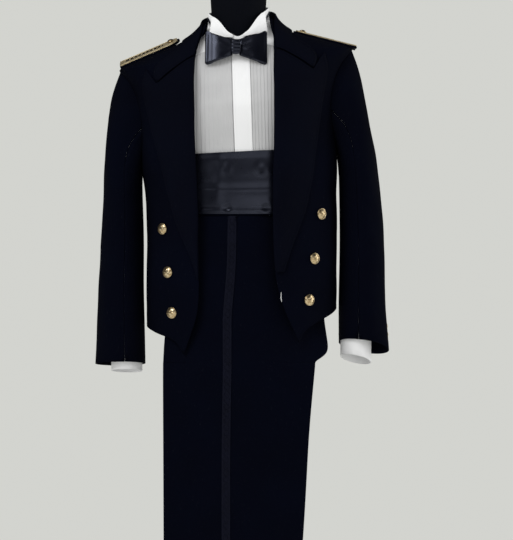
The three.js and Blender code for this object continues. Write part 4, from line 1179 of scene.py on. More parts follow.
SLEEVE_FOLDS = {
    Side.RIGHT: folds(
        (-88, 1196, -48, 1152, 9, -2.3, 3), (-82, 1160, -40, 1124, 8, -1.9, 2), (-86, 1112, -52, 1090, 7, -1.3),
        (-36, 1370, -28, 1190, 12, -1.9, 2), (22, 1380, 14, 1010, 14, 2.1, -3), (-8, 1110, -18, 905, 12, -1.8, 2),
        (-60, 1030, -64, 890, 10, 1.5), (74, 1290, 60, 1060, 13, -2.1, -3), (52, 1000, 66, 895, 10, -1.4),
        (-66, 1250, -60, 1200, 8, 1.4), (40, 1180, 70, 1130, 9, -1.4, -2),
    ),
    Side.LEFT: folds(
        (-84, 1210, -50, 1160, 9, -2.0, 3), (-88, 1172, -36, 1140, 8, -2.2, 2), (-80, 1100, -46, 1082, 7, -1.5),
        (-40, 1350, -24, 1170, 13, -2.2, 3), (18, 1370, 20, 1040, 13, 1.8, -2), (-12, 1090, -6, 900, 11, -1.6, -2),
        (-58, 1010, -68, 895, 10, 1.7), (70, 1270, 66, 1040, 12, -1.8, 3), (58, 990, 60, 890, 10, -1.6),
        (-62, 1260, -66, 1215, 8, 1.2), (38, 1200, 72, 1146, 9, -1.6, 2), mirror=True,
    ),
}


def sleeve_drape(side: Side) -> Drape:
    """The drape of one sleeve, laid out from its outer side."""
    chart = Chart(Facing.ROUND, (0.245 * side.value, -0.010), 0.05, side.value * math.pi / 2)
    return Drape(chart, SLEEVE_FOLDS[side], 0.0005, sleeve_ease)


@dataclass
class GiltButton:
    """A gilt domed button with a roped rim and a plain rosette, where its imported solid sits."""

    node: str
    radius: float
    height: float
    drape: Drape | None = None
    sides: int = 48

    def seat(self) -> tuple[np.ndarray, np.ndarray]:
        """The middle of the button's back, and the way it faces.

        Returns:
            The place and the unit vector.
        """
        bm = bmesh.new()
        bm.from_mesh(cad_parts[self.node].data)
        bmesh.ops.remove_doubles(bm, verts=bm.verts, dist=WELD)
        poles = sorted(bm.verts, key=lambda v: -len(v.link_edges))[:2]
        spans = [sum(e.calc_length() for e in v.link_edges) / len(v.link_edges) for v in poles]
        base, tip = (poles[0], poles[1]) if spans[0] > spans[1] else (poles[1], poles[0])
        start, way = np.array(base.co), np.array((tip.co - base.co).normalized())
        bm.free()
        if self.drape is not None:
            start = self.drape.moved(start[None])[0]
        return start, way

    def build(self, wardrobe: Wardrobe) -> bpy.types.Object:
        """Turns the button on its seat.

        Args:
            wardrobe: dresses the pieces.

        Returns:
            The piece.
        """
        start, way = self.seat()
        across = np.cross(way, [0.0, 0.0, 1.0])
        across /= np.linalg.norm(across)
        rise = np.cross(across, way)
        turns = 2 * math.pi * np.arange(self.sides) / self.sides
        profile = (
            (0.20, 0.0), (0.72, 0.0), (0.96, 0.22), (1.0, 0.30), (1.0, 0.38), (0.97, 0.46), (0.93, 0.49), (0.89, 0.47),
            (0.865, 0.50), (0.83, 0.585), (0.74, 0.70), (0.62, 0.80), (0.50, 0.875), (0.42, 0.915), (0.34, 0.945),
            (0.27, 0.965), (0.20, 0.98), (0.13, 0.99), (0.06, 1.0),
        )
        rings = []
        for share, level in profile:
            rope = 0.022 * np.cos(24 * turns + 30 * level) * (0.9 < share) * (level > 0.25)
            rosette = 0.05 * np.cos(8 * turns) * math.exp(-(((share - 0.42) / 0.13) ** 2))
            boss = 0.035 * math.exp(-((share / 0.16) ** 2)) - 0.03 * math.exp(-(((share - 0.72) / 0.05) ** 2))
            reach = self.radius * (share + rope)
            up = self.height * (level * 0.955 + rosette + boss + rope * 1.2 + 0.01)
            ring = start + reach[:, None] * (np.cos(turns)[:, None] * across + np.sin(turns)[:, None] * rise)
            rings.append(ring + up[:, None] * way)
        points, faces = turned(np.array(rings))
        return wardrobe.dress(f"{self.node}_gilt", mesh_of(self.node, points, faces), GILT, [self.node])


@dataclass
class Jacket:
    """The open waist length jacket: fronts, backs, lapels, collar, sleeves and their buttons."""

    button_radius: float = 0.0112
    button_height: float = 0.0075
    small_radius: float = 0.0070
    small_height: float = 0.0050
    edge_inset: float = 0.0045
    bar_at: tuple[float, float] = (0.0815, 1.0035)
    bar_length: float = 0.024
    bar_radius: float = 0.0011
    cuts: dict[str, tuple[float, float, float]] = field(default_factory=lambda: {
        "jacket_front_left": (0.197, 0.771, 0.1060), "jacket_front_right": (0.208, 0.756, 0.1111),
        "jacket_back_left": (0.282, 0.766, 0.1509), "jacket_back_right": (0.282, 0.752, 0.1495),
        "lapel_left": (0.137, 0.444, 0.0284), "lapel_right": (0.132, 0.446, 0.0338),
        "jacket_collar": (0.590, 0.098, 0.0236),
        "sleeve_upper_left": (0.295, 0.599, 0.1132), "sleeve_upper_right": (0.309, 0.620, 0.1162),
        "sleeve_under_left": (0.203, 0.499, 0.0632), "sleeve_under_right": (0.202, 0.510, 0.0628),
    })

    def cloth(self, node: str, drape: Drape, held: Held, rests_on: tuple[str, ...], finish: ClothFinish = WOOL,
              **more: object) -> Cloth:
        """A piece of the jacket with its cut."""
        return Cloth(node, finish, drape, Cut(*self.cuts[node], held, rests_on), **more)

    def build(self, wardrobe: Wardrobe) -> None:
        """Builds every piece of the jacket.

        Args:
            wardrobe: dresses the pieces.
        """
        low_hem = Hem("hem", lambda p: p.z < 0.955 + LEAN * p.x, 0.018, *WOOL_STITCH)
        for side in Side:
            word, front = side.word, FRONT_DRAPE[side]
            edge = Hem("edge", lambda p: p.z < 1.10 and abs(p.x) < 0.17, self.edge_inset)
            self.cloth(f"jacket_front_{word}", front, Held.HUNG, ("shirt_collar_band", "form_torso"),
                       levels=3, hems=(edge,)).build(wardrobe)
            self.cloth(f"jacket_back_{word}", BACK_DRAPE, Held.HUNG, ("shirt_collar_band", "form_torso"),
                       hems=(low_hem,)).build(wardrobe)
            border = Hem("border", lambda p: abs(p.x) > 0.098, self.edge_inset)
            self.cloth(f"lapel_{word}", front, Held.FOLDED, (f"jacket_front_{word}",), LAPEL,
                       levels=3, hems=(border,)).build(wardrobe)
            self.sleeve(side, wardrobe)
            for level in ("upper", "middle", "lower"):
                GiltButton(f"front_button_{level}_{word}", self.button_radius, self.button_height,
                           front).build(wardrobe)
            for level in ("upper", "lower"):
                GiltButton(f"sleeve_button_{level}_{word}", self.small_radius, self.small_height,
                           sleeve_drape(side)).build(wardrobe)
        neck = Chart(Facing.ROUND, NECK_AXIS, NECK_RADIUS, math.pi)
        collar_edge = Hem("border", lambda p: p.z < 1.535 + LEAN * p.x, self.edge_inset)
        self.cloth("jacket_collar", Drape(neck), Held.FOLDED, ("jacket_back_left", "jacket_back_right"), LAPEL,
                   hems=(collar_edge,)).build(wardrobe)
        self.thread_bar(wardrobe)

    def sleeve(self, side: Side, wardrobe: Wardrobe) -> None:
        """The upper and under sleeve of one side, with the stitches of their hems.

        Args:
            side: the viewer's left or right.
            wardrobe: dresses the pieces.
        """
        drape = sleeve_drape(side)
        hem = Hem("hem", lambda p: p.z < 0.93, 0.016, *WOOL_STITCH)
        seam = Hem("seam", lambda p: 0.95 < p.z < 1.25, 0.0020, 0.0036, 0.0002)
        for part in ("upper", "under"):
            self.cloth(f"sleeve_{part}_{side.word}", drape, Held.HUNG, (f"jacket_front_{side.word}",),
                       levels=3 if part == "upper" else 2,
                       hems=(hem, seam) if part == "upper" else (hem,)).build(wardrobe)

    def thread_bar(self, wardrobe: Wardrobe) -> None:
        """The pale bar of thread at the edge of the right front, which holds a link.

        Args:
            wardrobe: dresses the pieces.
        """
        x, z = self.bar_at
        t = np.linspace(-1.0, 1.0, 15)
        low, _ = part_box("jacket_front_right")
        path = np.stack([x + 0.0006 * t, np.full(15, low.y), z + 0.5 * self.bar_length * t], 1)
        tree = solid_tree("jacket_front_right")
        for k, point in enumerate(path):
            hit = tree.find_nearest(Vector((point[0], point[1] + 0.01, point[2])))
            path[k] = np.array(hit[0])
        path = FRONT_DRAPE[Side.RIGHT].moved(path)
        path[:, 1] -= 0.0012 * (1 - t ** 4) + 0.0004
        points, faces = tube(path, self.bar_radius, 8, flat=0.8, up=np.array([0.0, 1.0, 0.0]))
        mesh = mesh_of("thread_bar", points, faces)
        place_threads(mesh, points[:, [0, 2]])
        wardrobe.dress("front_edge_thread_bar", mesh, SHIRTING_PAINTED_SHADE)


# ---------------------------------------------------------------- shirt


@dataclass
class PleatedBib:
    """One half of the shirt's bib: fine knife pleats that run down beside the placket."""

    side: Side
    cut: tuple[float, float, float]
    placket_half: float = 0.0176
    outer: float = 0.106
    middle_z: float = 1.350
    low_x: float = 0.0155
    high_x: float = 0.0045
    low_z: float = 1.160
    lean_height: float = 0.325
    pleats: int = 12
    steps: int = 8
    rows: int = 56
    rise: float = 0.0011
    thick: float = 0.0009

    def x_at(self, u: float, z: float) -> float:
        """Where the share u across the bib lies at a height.

        Args:
            u: share across the bib.
            z: the height.

        Returns:
            x in metres.
        """
        up = min(1.0, max(0.0, (z - self.low_z) / self.lean_height))
        centre = self.low_x + (self.high_x - self.low_x) * up
        start = self.placket_half + self.side.value * centre
        return self.side.value * (start + (self.outer - start) * u)

    def depth(self, tree: BVHTree, u: float, z: float) -> float | None:
        """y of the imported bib's face at a place, or None beside it."""
        hit = tree.ray_cast(Vector((self.x_at(u, z), -0.3, z)), Vector((0, 1, 0)), 0.4)
        return None if hit[0] is None else hit[0].y

    def end(self, tree: BVHTree, u: float, far: float) -> float:
        """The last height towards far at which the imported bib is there.

        Args:
            tree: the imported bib's faces.
            u: share across the bib.
            far: the height it looks towards.

        Returns:
            The height.
        """
        near = self.middle_z
        for _ in range(15):
            middle = (near + far) / 2
            if self.depth(tree, u, middle) is None:
                far = middle
            else:
                near = middle
        return near

    def build(self, wardrobe: Wardrobe) -> bpy.types.Object:
        """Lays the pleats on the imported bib.

        Args:
            wardrobe: dresses the pieces.

        Returns:
            The piece.
        """
        node = f"shirt_bib_{self.side.word}"
        tree = solid_tree(node)
        columns = self.pleats * self.steps + 1
        us = np.linspace(0.012, 0.988, columns)
        face = np.zeros((self.rows, columns, 3))
        for j, u in enumerate(us):
            low, high = self.end(tree, u, 1.16), self.end(tree, u, 1.54)
            for i, z in enumerate(np.linspace(low, high, self.rows)):
                y = self.depth(tree, u, z)
                face[i, j] = (self.x_at(u, z), face[i - 1, j, 1] if y is None else y, z)
        window = np.ones(self.steps + 1) / (self.steps + 1)
        padded = np.pad(face[:, :, 1], ((0, 0), (self.steps // 2, self.steps // 2)), mode="edge")
        face[:, :, 1] = np.array([np.convolve(row, window, mode="valid") for row in padded])
        turn = (us[None, :] * self.pleats + 0.05 * np.sin(9 * face[:, :, 2] * 7 + us[None, :] * 31)) % 1.0
        pleat = np.where(turn < 0.86, (turn / 0.86) ** 0.8, (1.0 - turn) / 0.14)
        swell = 0.85 + 0.15 * np.sin(23 * us[None, :] + 14 * face[:, :, 2])
        outer = face.copy()
        outer[:, :, 1] -= self.rise * pleat * swell
        outer[:, :, 1] += 0.0004
        inner = outer.copy()
        inner[:, :, 1] += self.thick
        points, faces = shell(outer, inner)
        mesh = mesh_of(node, points, faces)
        bm = bmesh.new()
        bm.from_mesh(mesh)
        bmesh.ops.recalc_face_normals(bm, faces=bm.faces)
        bm.to_mesh(mesh)
        bm.free()
        place_threads(mesh, points[:, [0, 2]])
        # The bib's grey is painted shade on white shirting.
        piece = wardrobe.dress(f"{node}_cloth", mesh, SHIRTING_PAINTED_SHADE, [node])
        return piece


def bust_ease(points: np.ndarray) -> np.ndarray:
    """The shirt is held at the armholes and under the jacket's neck."""
    x, _, z = points.T
    return (1.0 - smooth_step(np.abs(x), 0.11, 0.15)) * (1.0 - smooth_step(z, 1.36, 1.44))


@dataclass
class Shirt:
    """The white dress shirt: bib, placket, body, sleeves, cuffs and the wing collar."""

    cuts: dict[str, tuple[float, float, float]] = field(default_factory=lambda: {
        "shirt_front_left": (0.246, 0.714, 0.1226), "shirt_front_right": (0.236, 0.736, 0.1131),
        "shirt_back": (0.507, 0.733, 0.2486), "shirt_placket": (0.036, 0.296, 0.0103),
        "shirt_bib_left": (0.113, 0.295, 0.0299), "shirt_bib_right": (0.088, 0.303, 0.0254),
        "shirt_collar_band": (0.434, 0.035, 0.0102),
        "shirt_wing_left": (0.067, 0.046, 0.0013), "shirt_wing_right": (0.072, 0.046, 0.0013),
        "shirt_sleeve_left": (0.354, 0.544, 0.1323), "shirt_sleeve_right": (0.364, 0.555, 0.1361),
        "shirt_cuff_left": (0.211, 0.071, 0.0129), "shirt_cuff_right": (0.217, 0.078, 0.0129),
    })

    def cloth(self, node: str, drape: Drape, held: Held, rests_on: tuple[str, ...], **more: object) -> Cloth:
        """A piece of the shirt with its cut."""
        more.setdefault("edge", 0.0003)
        return Cloth(node, SHIRT, drape, Cut(*self.cuts[node], held, rests_on), **more)

    def build(self, wardrobe: Wardrobe) -> None:
        """Builds every piece of the shirt.

        Args:
            wardrobe: dresses the pieces.
        """
        front = Drape(BODY_FRONT, sway=0.0002, ease=bust_ease)
        self.cloth("shirt_back", Drape(BODY_BACK, folds(
            (-150, 1300, -130, 1010, 16, -1.2), (-60, 1250, -50, 1000, 18, 1.0), (40, 1280, 52, 990, 15, -1.1),
            (140, 1260, 128, 1000, 17, 1.0),
        ), 0.0003, bust_ease), Held.DRAPED, ("form_torso",), levels=1).build(wardrobe)
        placket = Drape(Chart(Facing.FRONT), folds(
            (18, 1452, 6, 1424, 3, -0.5), (-11, 1480, 0, 1215, 2.2, 0.35), (22, 1470, 30, 1215, 2.2, 0.35),
        ))
        sides = Hem("edge", lambda p: 1.25 < p.z < 1.45, 0.0030, *SHIRT_STITCH)
        self.cloth("shirt_placket", placket, Held.LAID, ("shirt_front_left", "shirt_front_right"),
                   levels=3, hems=(sides,)).build(wardrobe)
        neck = Chart(Facing.ROUND, NECK_AXIS, NECK_RADIUS)
        top = Hem("top", lambda p: p.z > 1.53, 0.0025, *SHIRT_STITCH)
        self.cloth("shirt_collar_band", Drape(neck), Held.DRAPED, ("form_torso",),
                   hems=(top,)).build(wardrobe)
        for side in Side:
            word = side.word
            self.cloth(f"shirt_front_{word}", front, Held.DRAPED, ("form_torso",), levels=1).build(wardrobe)
            PleatedBib(side, self.cuts[f"shirt_bib_{word}"]).build(wardrobe)
            outer = Hem("edge", lambda p: True, 0.0030, *SHIRT_STITCH)
            self.cloth(f"shirt_wing_{word}", Drape(Chart(Facing.FRONT)), Held.FOLDED,
                       ("shirt_collar_band",), levels=3, hems=(outer,)).build(wardrobe)
            sleeve = Drape(Chart(Facing.ROUND, (0.24 * side.value, -0.010), 0.04), sway=0.0004,
                           ease=lambda p: 1.0 - smooth_step(p[:, 2], 1.25, 1.36))
            self.cloth(f"shirt_sleeve_{word}", sleeve, Held.HUNG, (f"shirt_front_{word}", "shirt_back"),
                       levels=1).build(wardrobe)
            self.cuff(side, wardrobe)

    def cuff(self, side: Side, wardrobe: Wardrobe) -> None:
        """One cuff, slightly dented, with a row of stitches above its edge.

        Args:
            side: the viewer's left or right.
            wardrobe: dresses the pieces.
        """
        word = side.word
        centre = {Side.LEFT: -0.235, Side.RIGHT: 0.232}[side]
        dents = folds((-20, 850, -10, 905, 9, -0.9), (16, 845, 26, 900, 8, 0.8), (44, 860, 38, 920, 9, -0.8))
        lower = Hem("edge", lambda p: p.z < 0.885, 0.0045, 0.0032, 0.0002)
        self.cloth(f"shirt_cuff_{word}", Drape(Chart(Facing.ROUND, (centre, -0.024), 0.034), dents), Held.DRAPED,
                   (f"shirt_sleeve_{word}",), hems=(lower,)).build(wardrobe)


# ---------------------------------------------------------------- neckwear and waist


# The strap's lower edge: degrees round the neck from its front, and height in millimetres
NECKLINE = ((0, 1490.7), (13, 1493.3), (25, 1503.0), (36, 1515.9), (48, 1529.3), (60, 1541.5), (72, 1551.9),
            (84, 1557.0), (180, 1557.0))
# The strap's packed width, and how far its top comes down beside and behind the neck
STRAP_WIDTH, STRAP_DROP = 0.018, 0.0125


@dataclass
class BowTie:
    """The satin bow tie: its band, two bows with folds that fan out from the knot, and the knot."""

    centre: tuple[float, float] = (-4.0, 1488.0)
    cuts: dict[str, tuple[float, float, float]] = field(default_factory=lambda: {
        "tie_band": (0.451, 0.018, 0.0035), "tie_bow_left": (0.117, 0.065, 0.0055),
        "tie_bow_right": (0.117, 0.065, 0.0055),
    })

    @staticmethod
    def strap_narrowing(points: np.ndarray) -> np.ndarray:
        """Brings the strap's top edge down beside and behind the neck, so that the shirt's band shows above it.

        Args:
            points: n rows of x, y, z.

        Returns:
            How far each point moves.
        """
        turn = np.degrees(np.abs(np.arctan2(points[:, 0], NECK_AXIS[1] - points[:, 1])))
        turns, heights = zip(*NECKLINE)
        floor = np.interp(turn, turns, heights) * MM + LEAN * points[:, 0]
        share = np.clip((points[:, 2] - floor) / STRAP_WIDTH, 0.0, 1.0) * smooth_step(turn, 35.0, 58.0)
        return np.stack([np.zeros_like(turn), np.zeros_like(turn), -STRAP_DROP * share], 1)

    def bow_folds(self, side: Side) -> tuple[Fold, ...]:
        """The folds of one bow, from the knot outwards.

        Args:
            side: the viewer's left or right.

        Returns:
            The folds.
        """
        x, z = self.centre
        rows = {
            Side.RIGHT: (
                (7, 7, 30, 15, 3.6, -0.9, 1), (7, -5, 34, -15, 3.8, -1.0, -1), (8, 1, 27, 3, 3.0, -0.5, -1),
                (14, -3, 42, -10, 5.5, 0.6), (57, -30, 57.5, 30, 1.3, -0.45), (53, -30, 53.5, 30, 1.6, 0.2),
            ),
            Side.LEFT: (
                (7, 6, 32, 17, 3.8, -0.8, 1), (7, -6, 28, -15, 3.6, -1.1, 1), (8, 0, 30, 1, 3.2, -0.6, 1),
                (14, 4, 40, 10, 5.5, 0.5), (57, -30, 56.0, 30, 1.3, -0.45), (53, -30, 52.0, 30, 1.6, 0.2),
            ),
        }[side]
        return tuple(Fold(x + side.value * a, z + b, x + side.value * c, z + d, w, h, *rest)
                     for a, b, c, d, w, h, *rest in rows)

    def build(self, wardrobe: Wardrobe) -> None:
        """Builds the bow tie.

        Args:
            wardrobe: dresses the pieces.
        """
        neck = Chart(Facing.ROUND, NECK_AXIS, NECK_RADIUS)
        Cloth("tie_band", SATIN, Drape(neck, shift=self.strap_narrowing),
              Cut(*self.cuts["tie_band"], Held.DRAPED, ("shirt_collar_band",)), edge=0.0003).build(wardrobe)
        for side in Side:
            node = f"tie_bow_{side.word}"
            border = Hem("edge", lambda p: abs(p.x + 0.004) > 0.03, 0.0022, *SHIRT_STITCH)
            Cloth(node, SATIN, Drape(Chart(Facing.FRONT), self.bow_folds(side)),
                  Cut(*self.cuts[node], Held.FOLDED, ("shirt_placket",)), edge=0.0004,
                  levels=3, hems=(border,)).build(wardrobe)
        x, z = self.centre
        pleats = folds(
            (x - 12, z + 7, x + 12, z + 6.5, 1.7, -0.9), (x - 12, z + 0.6, x + 12, z - 0.4, 1.6, -1.0),
            (x - 12, z - 6.4, x + 12, z - 6.8, 1.7, -0.9), (x - 12, z + 3.8, x + 12, z + 3.2, 1.5, 0.5),
            (x - 12, z - 3.2, x + 12, z - 3.6, 1.5, 0.5),
        )
        Cloth("tie_knot", SATIN, Drape(Chart(Facing.FRONT), pleats), levels=3).build(wardrobe)


def level_height(points: np.ndarray) -> np.ndarray:
    """Height of each point before the lean, in millimetres.

    Args:
        points: n rows of x, y, z.

    Returns:
        One number for each point.
    """
    x, _, z = points.T
    share = np.clip((z - LEAN_STARTS) / (LEAN_FULL - LEAN_STARTS), 0.0, 1.0)
    return (z - LEAN * x * share) / MM


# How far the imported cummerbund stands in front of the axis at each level, in millimetres
WAIST_LEVEL, WAIST_DEPTH = 1206.0, 121.0
SASH_LEVELS = (WAIST_LEVEL, 1222.0, 1276.0, 1284.0)
SASH_DEPTHS = (WAIST_DEPTH, 116.1, 114.4, 114.2)
# The straight fall from the waist to the top edge: its height, its depth and how late it bends
FALL_HEIGHT, FALL_DEPTH, FALL_POWER = 70.0, 6.6, 1.35


def sash_relief(points: np.ndarray) -> np.ndarray:
    """The cummerbund's turned edges, the dimples where it is tacked, and its straight fall over the waist.

    Args:
        points: n rows of x, y, z.

    Returns:
        One number for each point.
    """
    level = level_height(points)
    x = points[:, 0] / MM
    top = 0.9 * smooth_step(level, 1274.2, 1275.6) - 0.35 * np.exp(-(((level - 1273.4) / 1.4) ** 2))
    bottom = 0.9 * (1.0 - smooth_step(level, 1171.2, 1172.8)) - 0.3 * np.exp(-(((level - 1174.0) / 1.5) ** 2))
    dimples = np.zeros(len(points))
    for at_x, at_z, reach in ((-22, 1174, 5.5), (54, 1175, 6.0), (-23, 1254, 4.5), (45, 1251, 5.0)):
        away = np.hypot(x - at_x, (level - at_z) * 1.3)
        dimples -= 1.5 * np.exp(-((away / reach) ** 2))
        dimples += 0.6 * np.exp(-(((away - 2.1 * reach) / reach) ** 2))
    in_front = points[:, 1] < 0
    t = np.clip((level - WAIST_LEVEL) / FALL_HEIGHT, 0.0, 1.0)
    over_waist = np.interp(level, SASH_LEVELS, SASH_DEPTHS)
    filled = np.where(level > WAIST_LEVEL, WAIST_DEPTH - FALL_DEPTH * t ** FALL_POWER - over_waist, 0.0)
    filled = np.clip(filled, 0.0, None) * (1.0 - smooth_step(level, 1275.0, 1279.0))
    return (top + bottom + (dimples + filled) * in_front) * MM


@dataclass
class Cummerbund:
    """The satin cummerbund: a smooth front with turned edges, a strap behind and its buckle."""

    buckle_half: float = 0.021
    buckle_wire: float = 0.0021
    cuts: dict[str, tuple[float, float, float]] = field(default_factory=lambda: {
        "cummerbund_front": (0.521, 0.129, 0.0623), "cummerbund_strap": (0.401, 0.036, 0.0136),
    })

    def build(self, wardrobe: Wardrobe) -> None:
        """Builds the cummerbund.

        Args:
            wardrobe: dresses the pieces.
        """
        waves = folds(
            (-84, 1160, -74, 1286, 17, -1.6, 2), (-52, 1158, -47, 1288, 13, 1.5, -2), (-20, 1240, 95, 1246, 9, 0.3, 3),
            (-30, 1212, 100, 1216, 10, -0.3, -3), (10, 1190, 110, 1196, 8, 0.25), (-120, 1160, -112, 1288, 12, 1.0),
            (110, 1160, 118, 1290, 13, -1.0), (60, 1258, 110, 1264, 6, -0.25),
        )
        chart = Chart(Facing.ROUND, radius=0.15)
        Cloth("cummerbund_front", SATIN, Drape(chart, waves, relief=sash_relief),
              Cut(*self.cuts["cummerbund_front"], Held.STRETCHED, ("shirt_front_left", "shirt_front_right")),
              levels=3, edge=0.0004).build(wardrobe)
        edges = Hem("edge", lambda p: p.z > 1.235 or p.z < 1.212, 0.0030, 0.0032, 0.0002)
        Cloth("cummerbund_strap", SATIN, Drape(Chart(Facing.ROUND, radius=0.15, zero=math.pi)),
              Cut(*self.cuts["cummerbund_strap"], Held.STRETCHED, ("shirt_back",)), edge=0.0004,
              hems=(edges,)).build(wardrobe)
        self.buckle(wardrobe)

    def buckle(self, wardrobe: Wardrobe) -> None:
        """A rounded wire frame with a bar across it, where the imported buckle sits.

        Args:
            wardrobe: dresses the pieces.
        """
        low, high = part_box("cummerbund_buckle")
        middle = (low + high) / 2
        half = self.buckle_half - self.buckle_wire
        turns = 2 * math.pi * np.arange(48) / 48
        c, s = np.cos(turns), np.sin(turns)
        path = np.stack([
            middle.x + half * np.sign(c) * np.abs(c) ** 0.35, np.full(48, middle.y),
            middle.z + half * np.sign(s) * np.abs(s) ** 0.35], 1)
        t = np.linspace(-1.0, 1.0, 9)
        bar = np.stack([np.full(9, middle.x), np.full(9, middle.y), middle.z + (half - 0.0005) * t], 1)
        up = np.array([0.0, 1.0, 0.0])
        parts = [tube(path, self.buckle_wire, 8, closed=True, flat=0.48, up=up), tube(bar, 0.0013, 8, flat=0.7, up=up)]
        points, faces = joined(parts)
        wardrobe.dress("cummerbund_buckle_wire", mesh_of("buckle", points, faces), GILT, ["cummerbund_buckle"])


# ---------------------------------------------------------------- shoulder boards


@dataclass
class ShoulderBoard:
    """A stiff cloth board with gold lace, a dark channel with bars, a corded edge and a button."""

    side: Side
    board_cut: tuple[float, float, float] = (0.057, 0.142, 0.0072)
    lace_cut: tuple[float, float, float] = (0.049, 0.129, 0.0060)
    channel_half: float = 0.0075
    channel_from: float = -0.060
    channel_to: float = 0.022
    bar_pitch: float = 0.0085
    cord_radius: float = 0.0009
    button_radius: float = 0.0070
    button_height: float = 0.0050

    def build(self, wardrobe: Wardrobe) -> None:
        """Builds the board.

        Args:
            wardrobe: dresses the pieces.
        """
        word = self.side.word
        flat = Drape(Chart(Facing.UP))
        edge = Hem("edge", lambda p: True, 0.0022, 0.0034, 0.0002)
        Cloth(f"shoulder_board_{word}", WOOL, flat,
              Cut(*self.board_cut, Held.LAID, (f"jacket_front_{word}", f"jacket_back_{word}")),
              edge=0.0005, hems=(edge,)).build(wardrobe)
        lace = Cloth(f"board_lace_{word}", LACE, flat,
                     Cut(*self.lace_cut, Held.LAID, (f"shoulder_board_{word}",)),
                     edge=0.0003).build(wardrobe)
        self.devices(lace, wardrobe)
        GiltButton(f"board_button_{word}", self.button_radius, self.button_height).build(wardrobe)

    def devices(self, lace: bpy.types.Object, wardrobe: Wardrobe) -> None:
        """The dark channel with its gold bars, and the cord round the lace.

        Args:
            lace: the dressed lace.
            wardrobe: dresses the pieces.
        """
        points = coordinates(lace.data)
        centre = points.mean(0)
        along, _, up = np.linalg.svd(points - centre, full_matrices=False)[2]
        if along[0] * self.side.value < 0:
            along = -along
        if up[2] < 0:
            up = -up
        across = np.cross(up, along)
        place_threads(lace.data, np.stack([(points - centre) @ along, np.abs((points - centre) @ across)], 1))
        tree = surface_tree(lace.data)

        def patch(x0: float, x1: float, half: float, raised: float, steps: int) -> tuple[np.ndarray, list]:
            """A thin strip laid on the lace, from x0 to x1 along the board.

            Args:
                x0: where it starts.
                x1: where it ends.
                half: half its width.
                raised: how far it stands off the lace.
                steps: its faces along the board.

            Returns:
                Points and faces of a closed body.
            """
            face = np.zeros((steps + 1, 7, 3))
            for i, x in enumerate(np.linspace(x0, x1, steps + 1)):
                for j, y in enumerate(np.linspace(-half, half, 7)):
                    above = Vector(centre + along * x + across * y + up * 0.02)
                    hit = tree.ray_cast(above, Vector(-up), 0.05)
                    spot = np.array(hit[0]) if hit[0] is not None else centre + along * x + across * y
                    face[i, j] = spot + up * raised
            return shell(face, face - up * (raised + 0.0002))

        ground = patch(-self.channel_to, -self.channel_from, self.channel_half, 0.00035, 24)
        bars = []
        x = -self.channel_to + 0.5 * self.bar_pitch
        while x < -self.channel_from - 0.3 * self.bar_pitch:
            bars.append(patch(x - 0.0017, x + 0.0017, self.channel_half * 0.72, 0.0008, 2))
            x += self.bar_pitch
        for words, body, finish in (("channel", ground, LACE_DARK), ("bars", joined(bars), LACE)):
            mesh = mesh_of(words, *body)
            place_threads(mesh, np.stack([(body[0] - centre) @ along, (body[0] - centre) @ across], 1))
            wardrobe.dress(f"board_{words}_{self.side.word}", mesh, finish)
        source = quad_copy(f"board_lace_{self.side.word}")
        runs = border_runs(source, Chart(Facing.UP))
        source.free()
        cords = [tube(resampled(run.inset(self.cord_radius) + up * 0.0003, 0.0025), self.cord_radius, 6)
                 for run in runs if len(run.points) > 1]
        points, faces = joined(cords)
        mesh = mesh_of("board_cord", points, faces)
        place_threads(mesh, np.stack([(points - centre) @ along, (points - centre) @ across], 1))
        wardrobe.dress(f"board_cord_{self.side.word}", mesh, LACE)


# ---------------------------------------------------------------- trousers

WRAP_ROWS = ((0.080, 0.1, -0.124), (0.850, 0.2, -0.124), (0.890, 1.7, -0.123), (0.915, 2.5, -0.122),
             (0.945, 3.6, -0.121), (0.985, 4.0, -0.120), (1.060, 4.1, -0.118), (1.150, 4.5, -0.1125),
             (1.205, 4.5, -0.1125))


def leg_ease(points: np.ndarray) -> np.ndarray:
    """Only the outer layer of each leg moves, and it is held flat under the cummerbund.

    Args:
        points: n rows of x, y, z.

    Returns:
        One number for each point.
    """
    heights, bends, middles = (np.array(column) for column in zip(*WRAP_ROWS))
    x, y, z = points.T
    radius = 1.0 / np.interp(z, heights, bends)
    depth = np.hypot(x, y - np.interp(z, heights, middles) - radius) - radius
    return smooth_step(np.abs(depth), 0.0035, 0.0075) * (1.0 - smooth_step(z, 1.06, 1.12))


LEG_DRAPE = {
    "near": Drape(Chart(Facing.FRONT), folds(
        (-108, 1040, -122, 840, 15, -1.9, 4), (-66, 1060, -84, 720, 18, 1.7, -5), (70, 1050, 96, 780, 17, -1.8, 6),
        (30, 900, 52, 620, 16, 1.4, -4), (-128, 700, -66, 668, 11, -1.3, 3), (52, 712, 112, 676, 12, -1.4, -3),
        (-118, 640, -70, 620, 9, 1.0, 2), (60, 640, 108, 622, 10, 1.1), (-70, 560, -82, 190, 15, 1.3, 4),
        (38, 530, 56, 150, 16, -1.5, -5), (-112, 480, -104, 220, 11, -1.2), (92, 420, 84, 110, 10, 1.0),
        (-30, 960, -40, 800, 12, -1.1), (120, 940, 132, 820, 10, 1.4, 3),
    ), 0.0006, leg_ease),
    "far": Drape(Chart(Facing.BACK), folds(
        (-100, 1040, -116, 820, 16, -1.8, 3), (-56, 1040, -70, 700, 17, 1.6, 5), (66, 1030, 90, 760, 16, -1.9, 5),
        (24, 880, 40, 600, 17, 1.3, 4), (-124, 684, -60, 660, 11, -1.4, 2), (48, 700, 108, 664, 11, -1.2, -3),
        (-74, 540, -66, 170, 14, 1.4, 3), (44, 510, 48, 130, 15, -1.4, 4), (-108, 460, -112, 200, 12, -1.1),
        (88, 400, 92, 120, 11, 1.1),
    ), 0.0006, leg_ease),
}


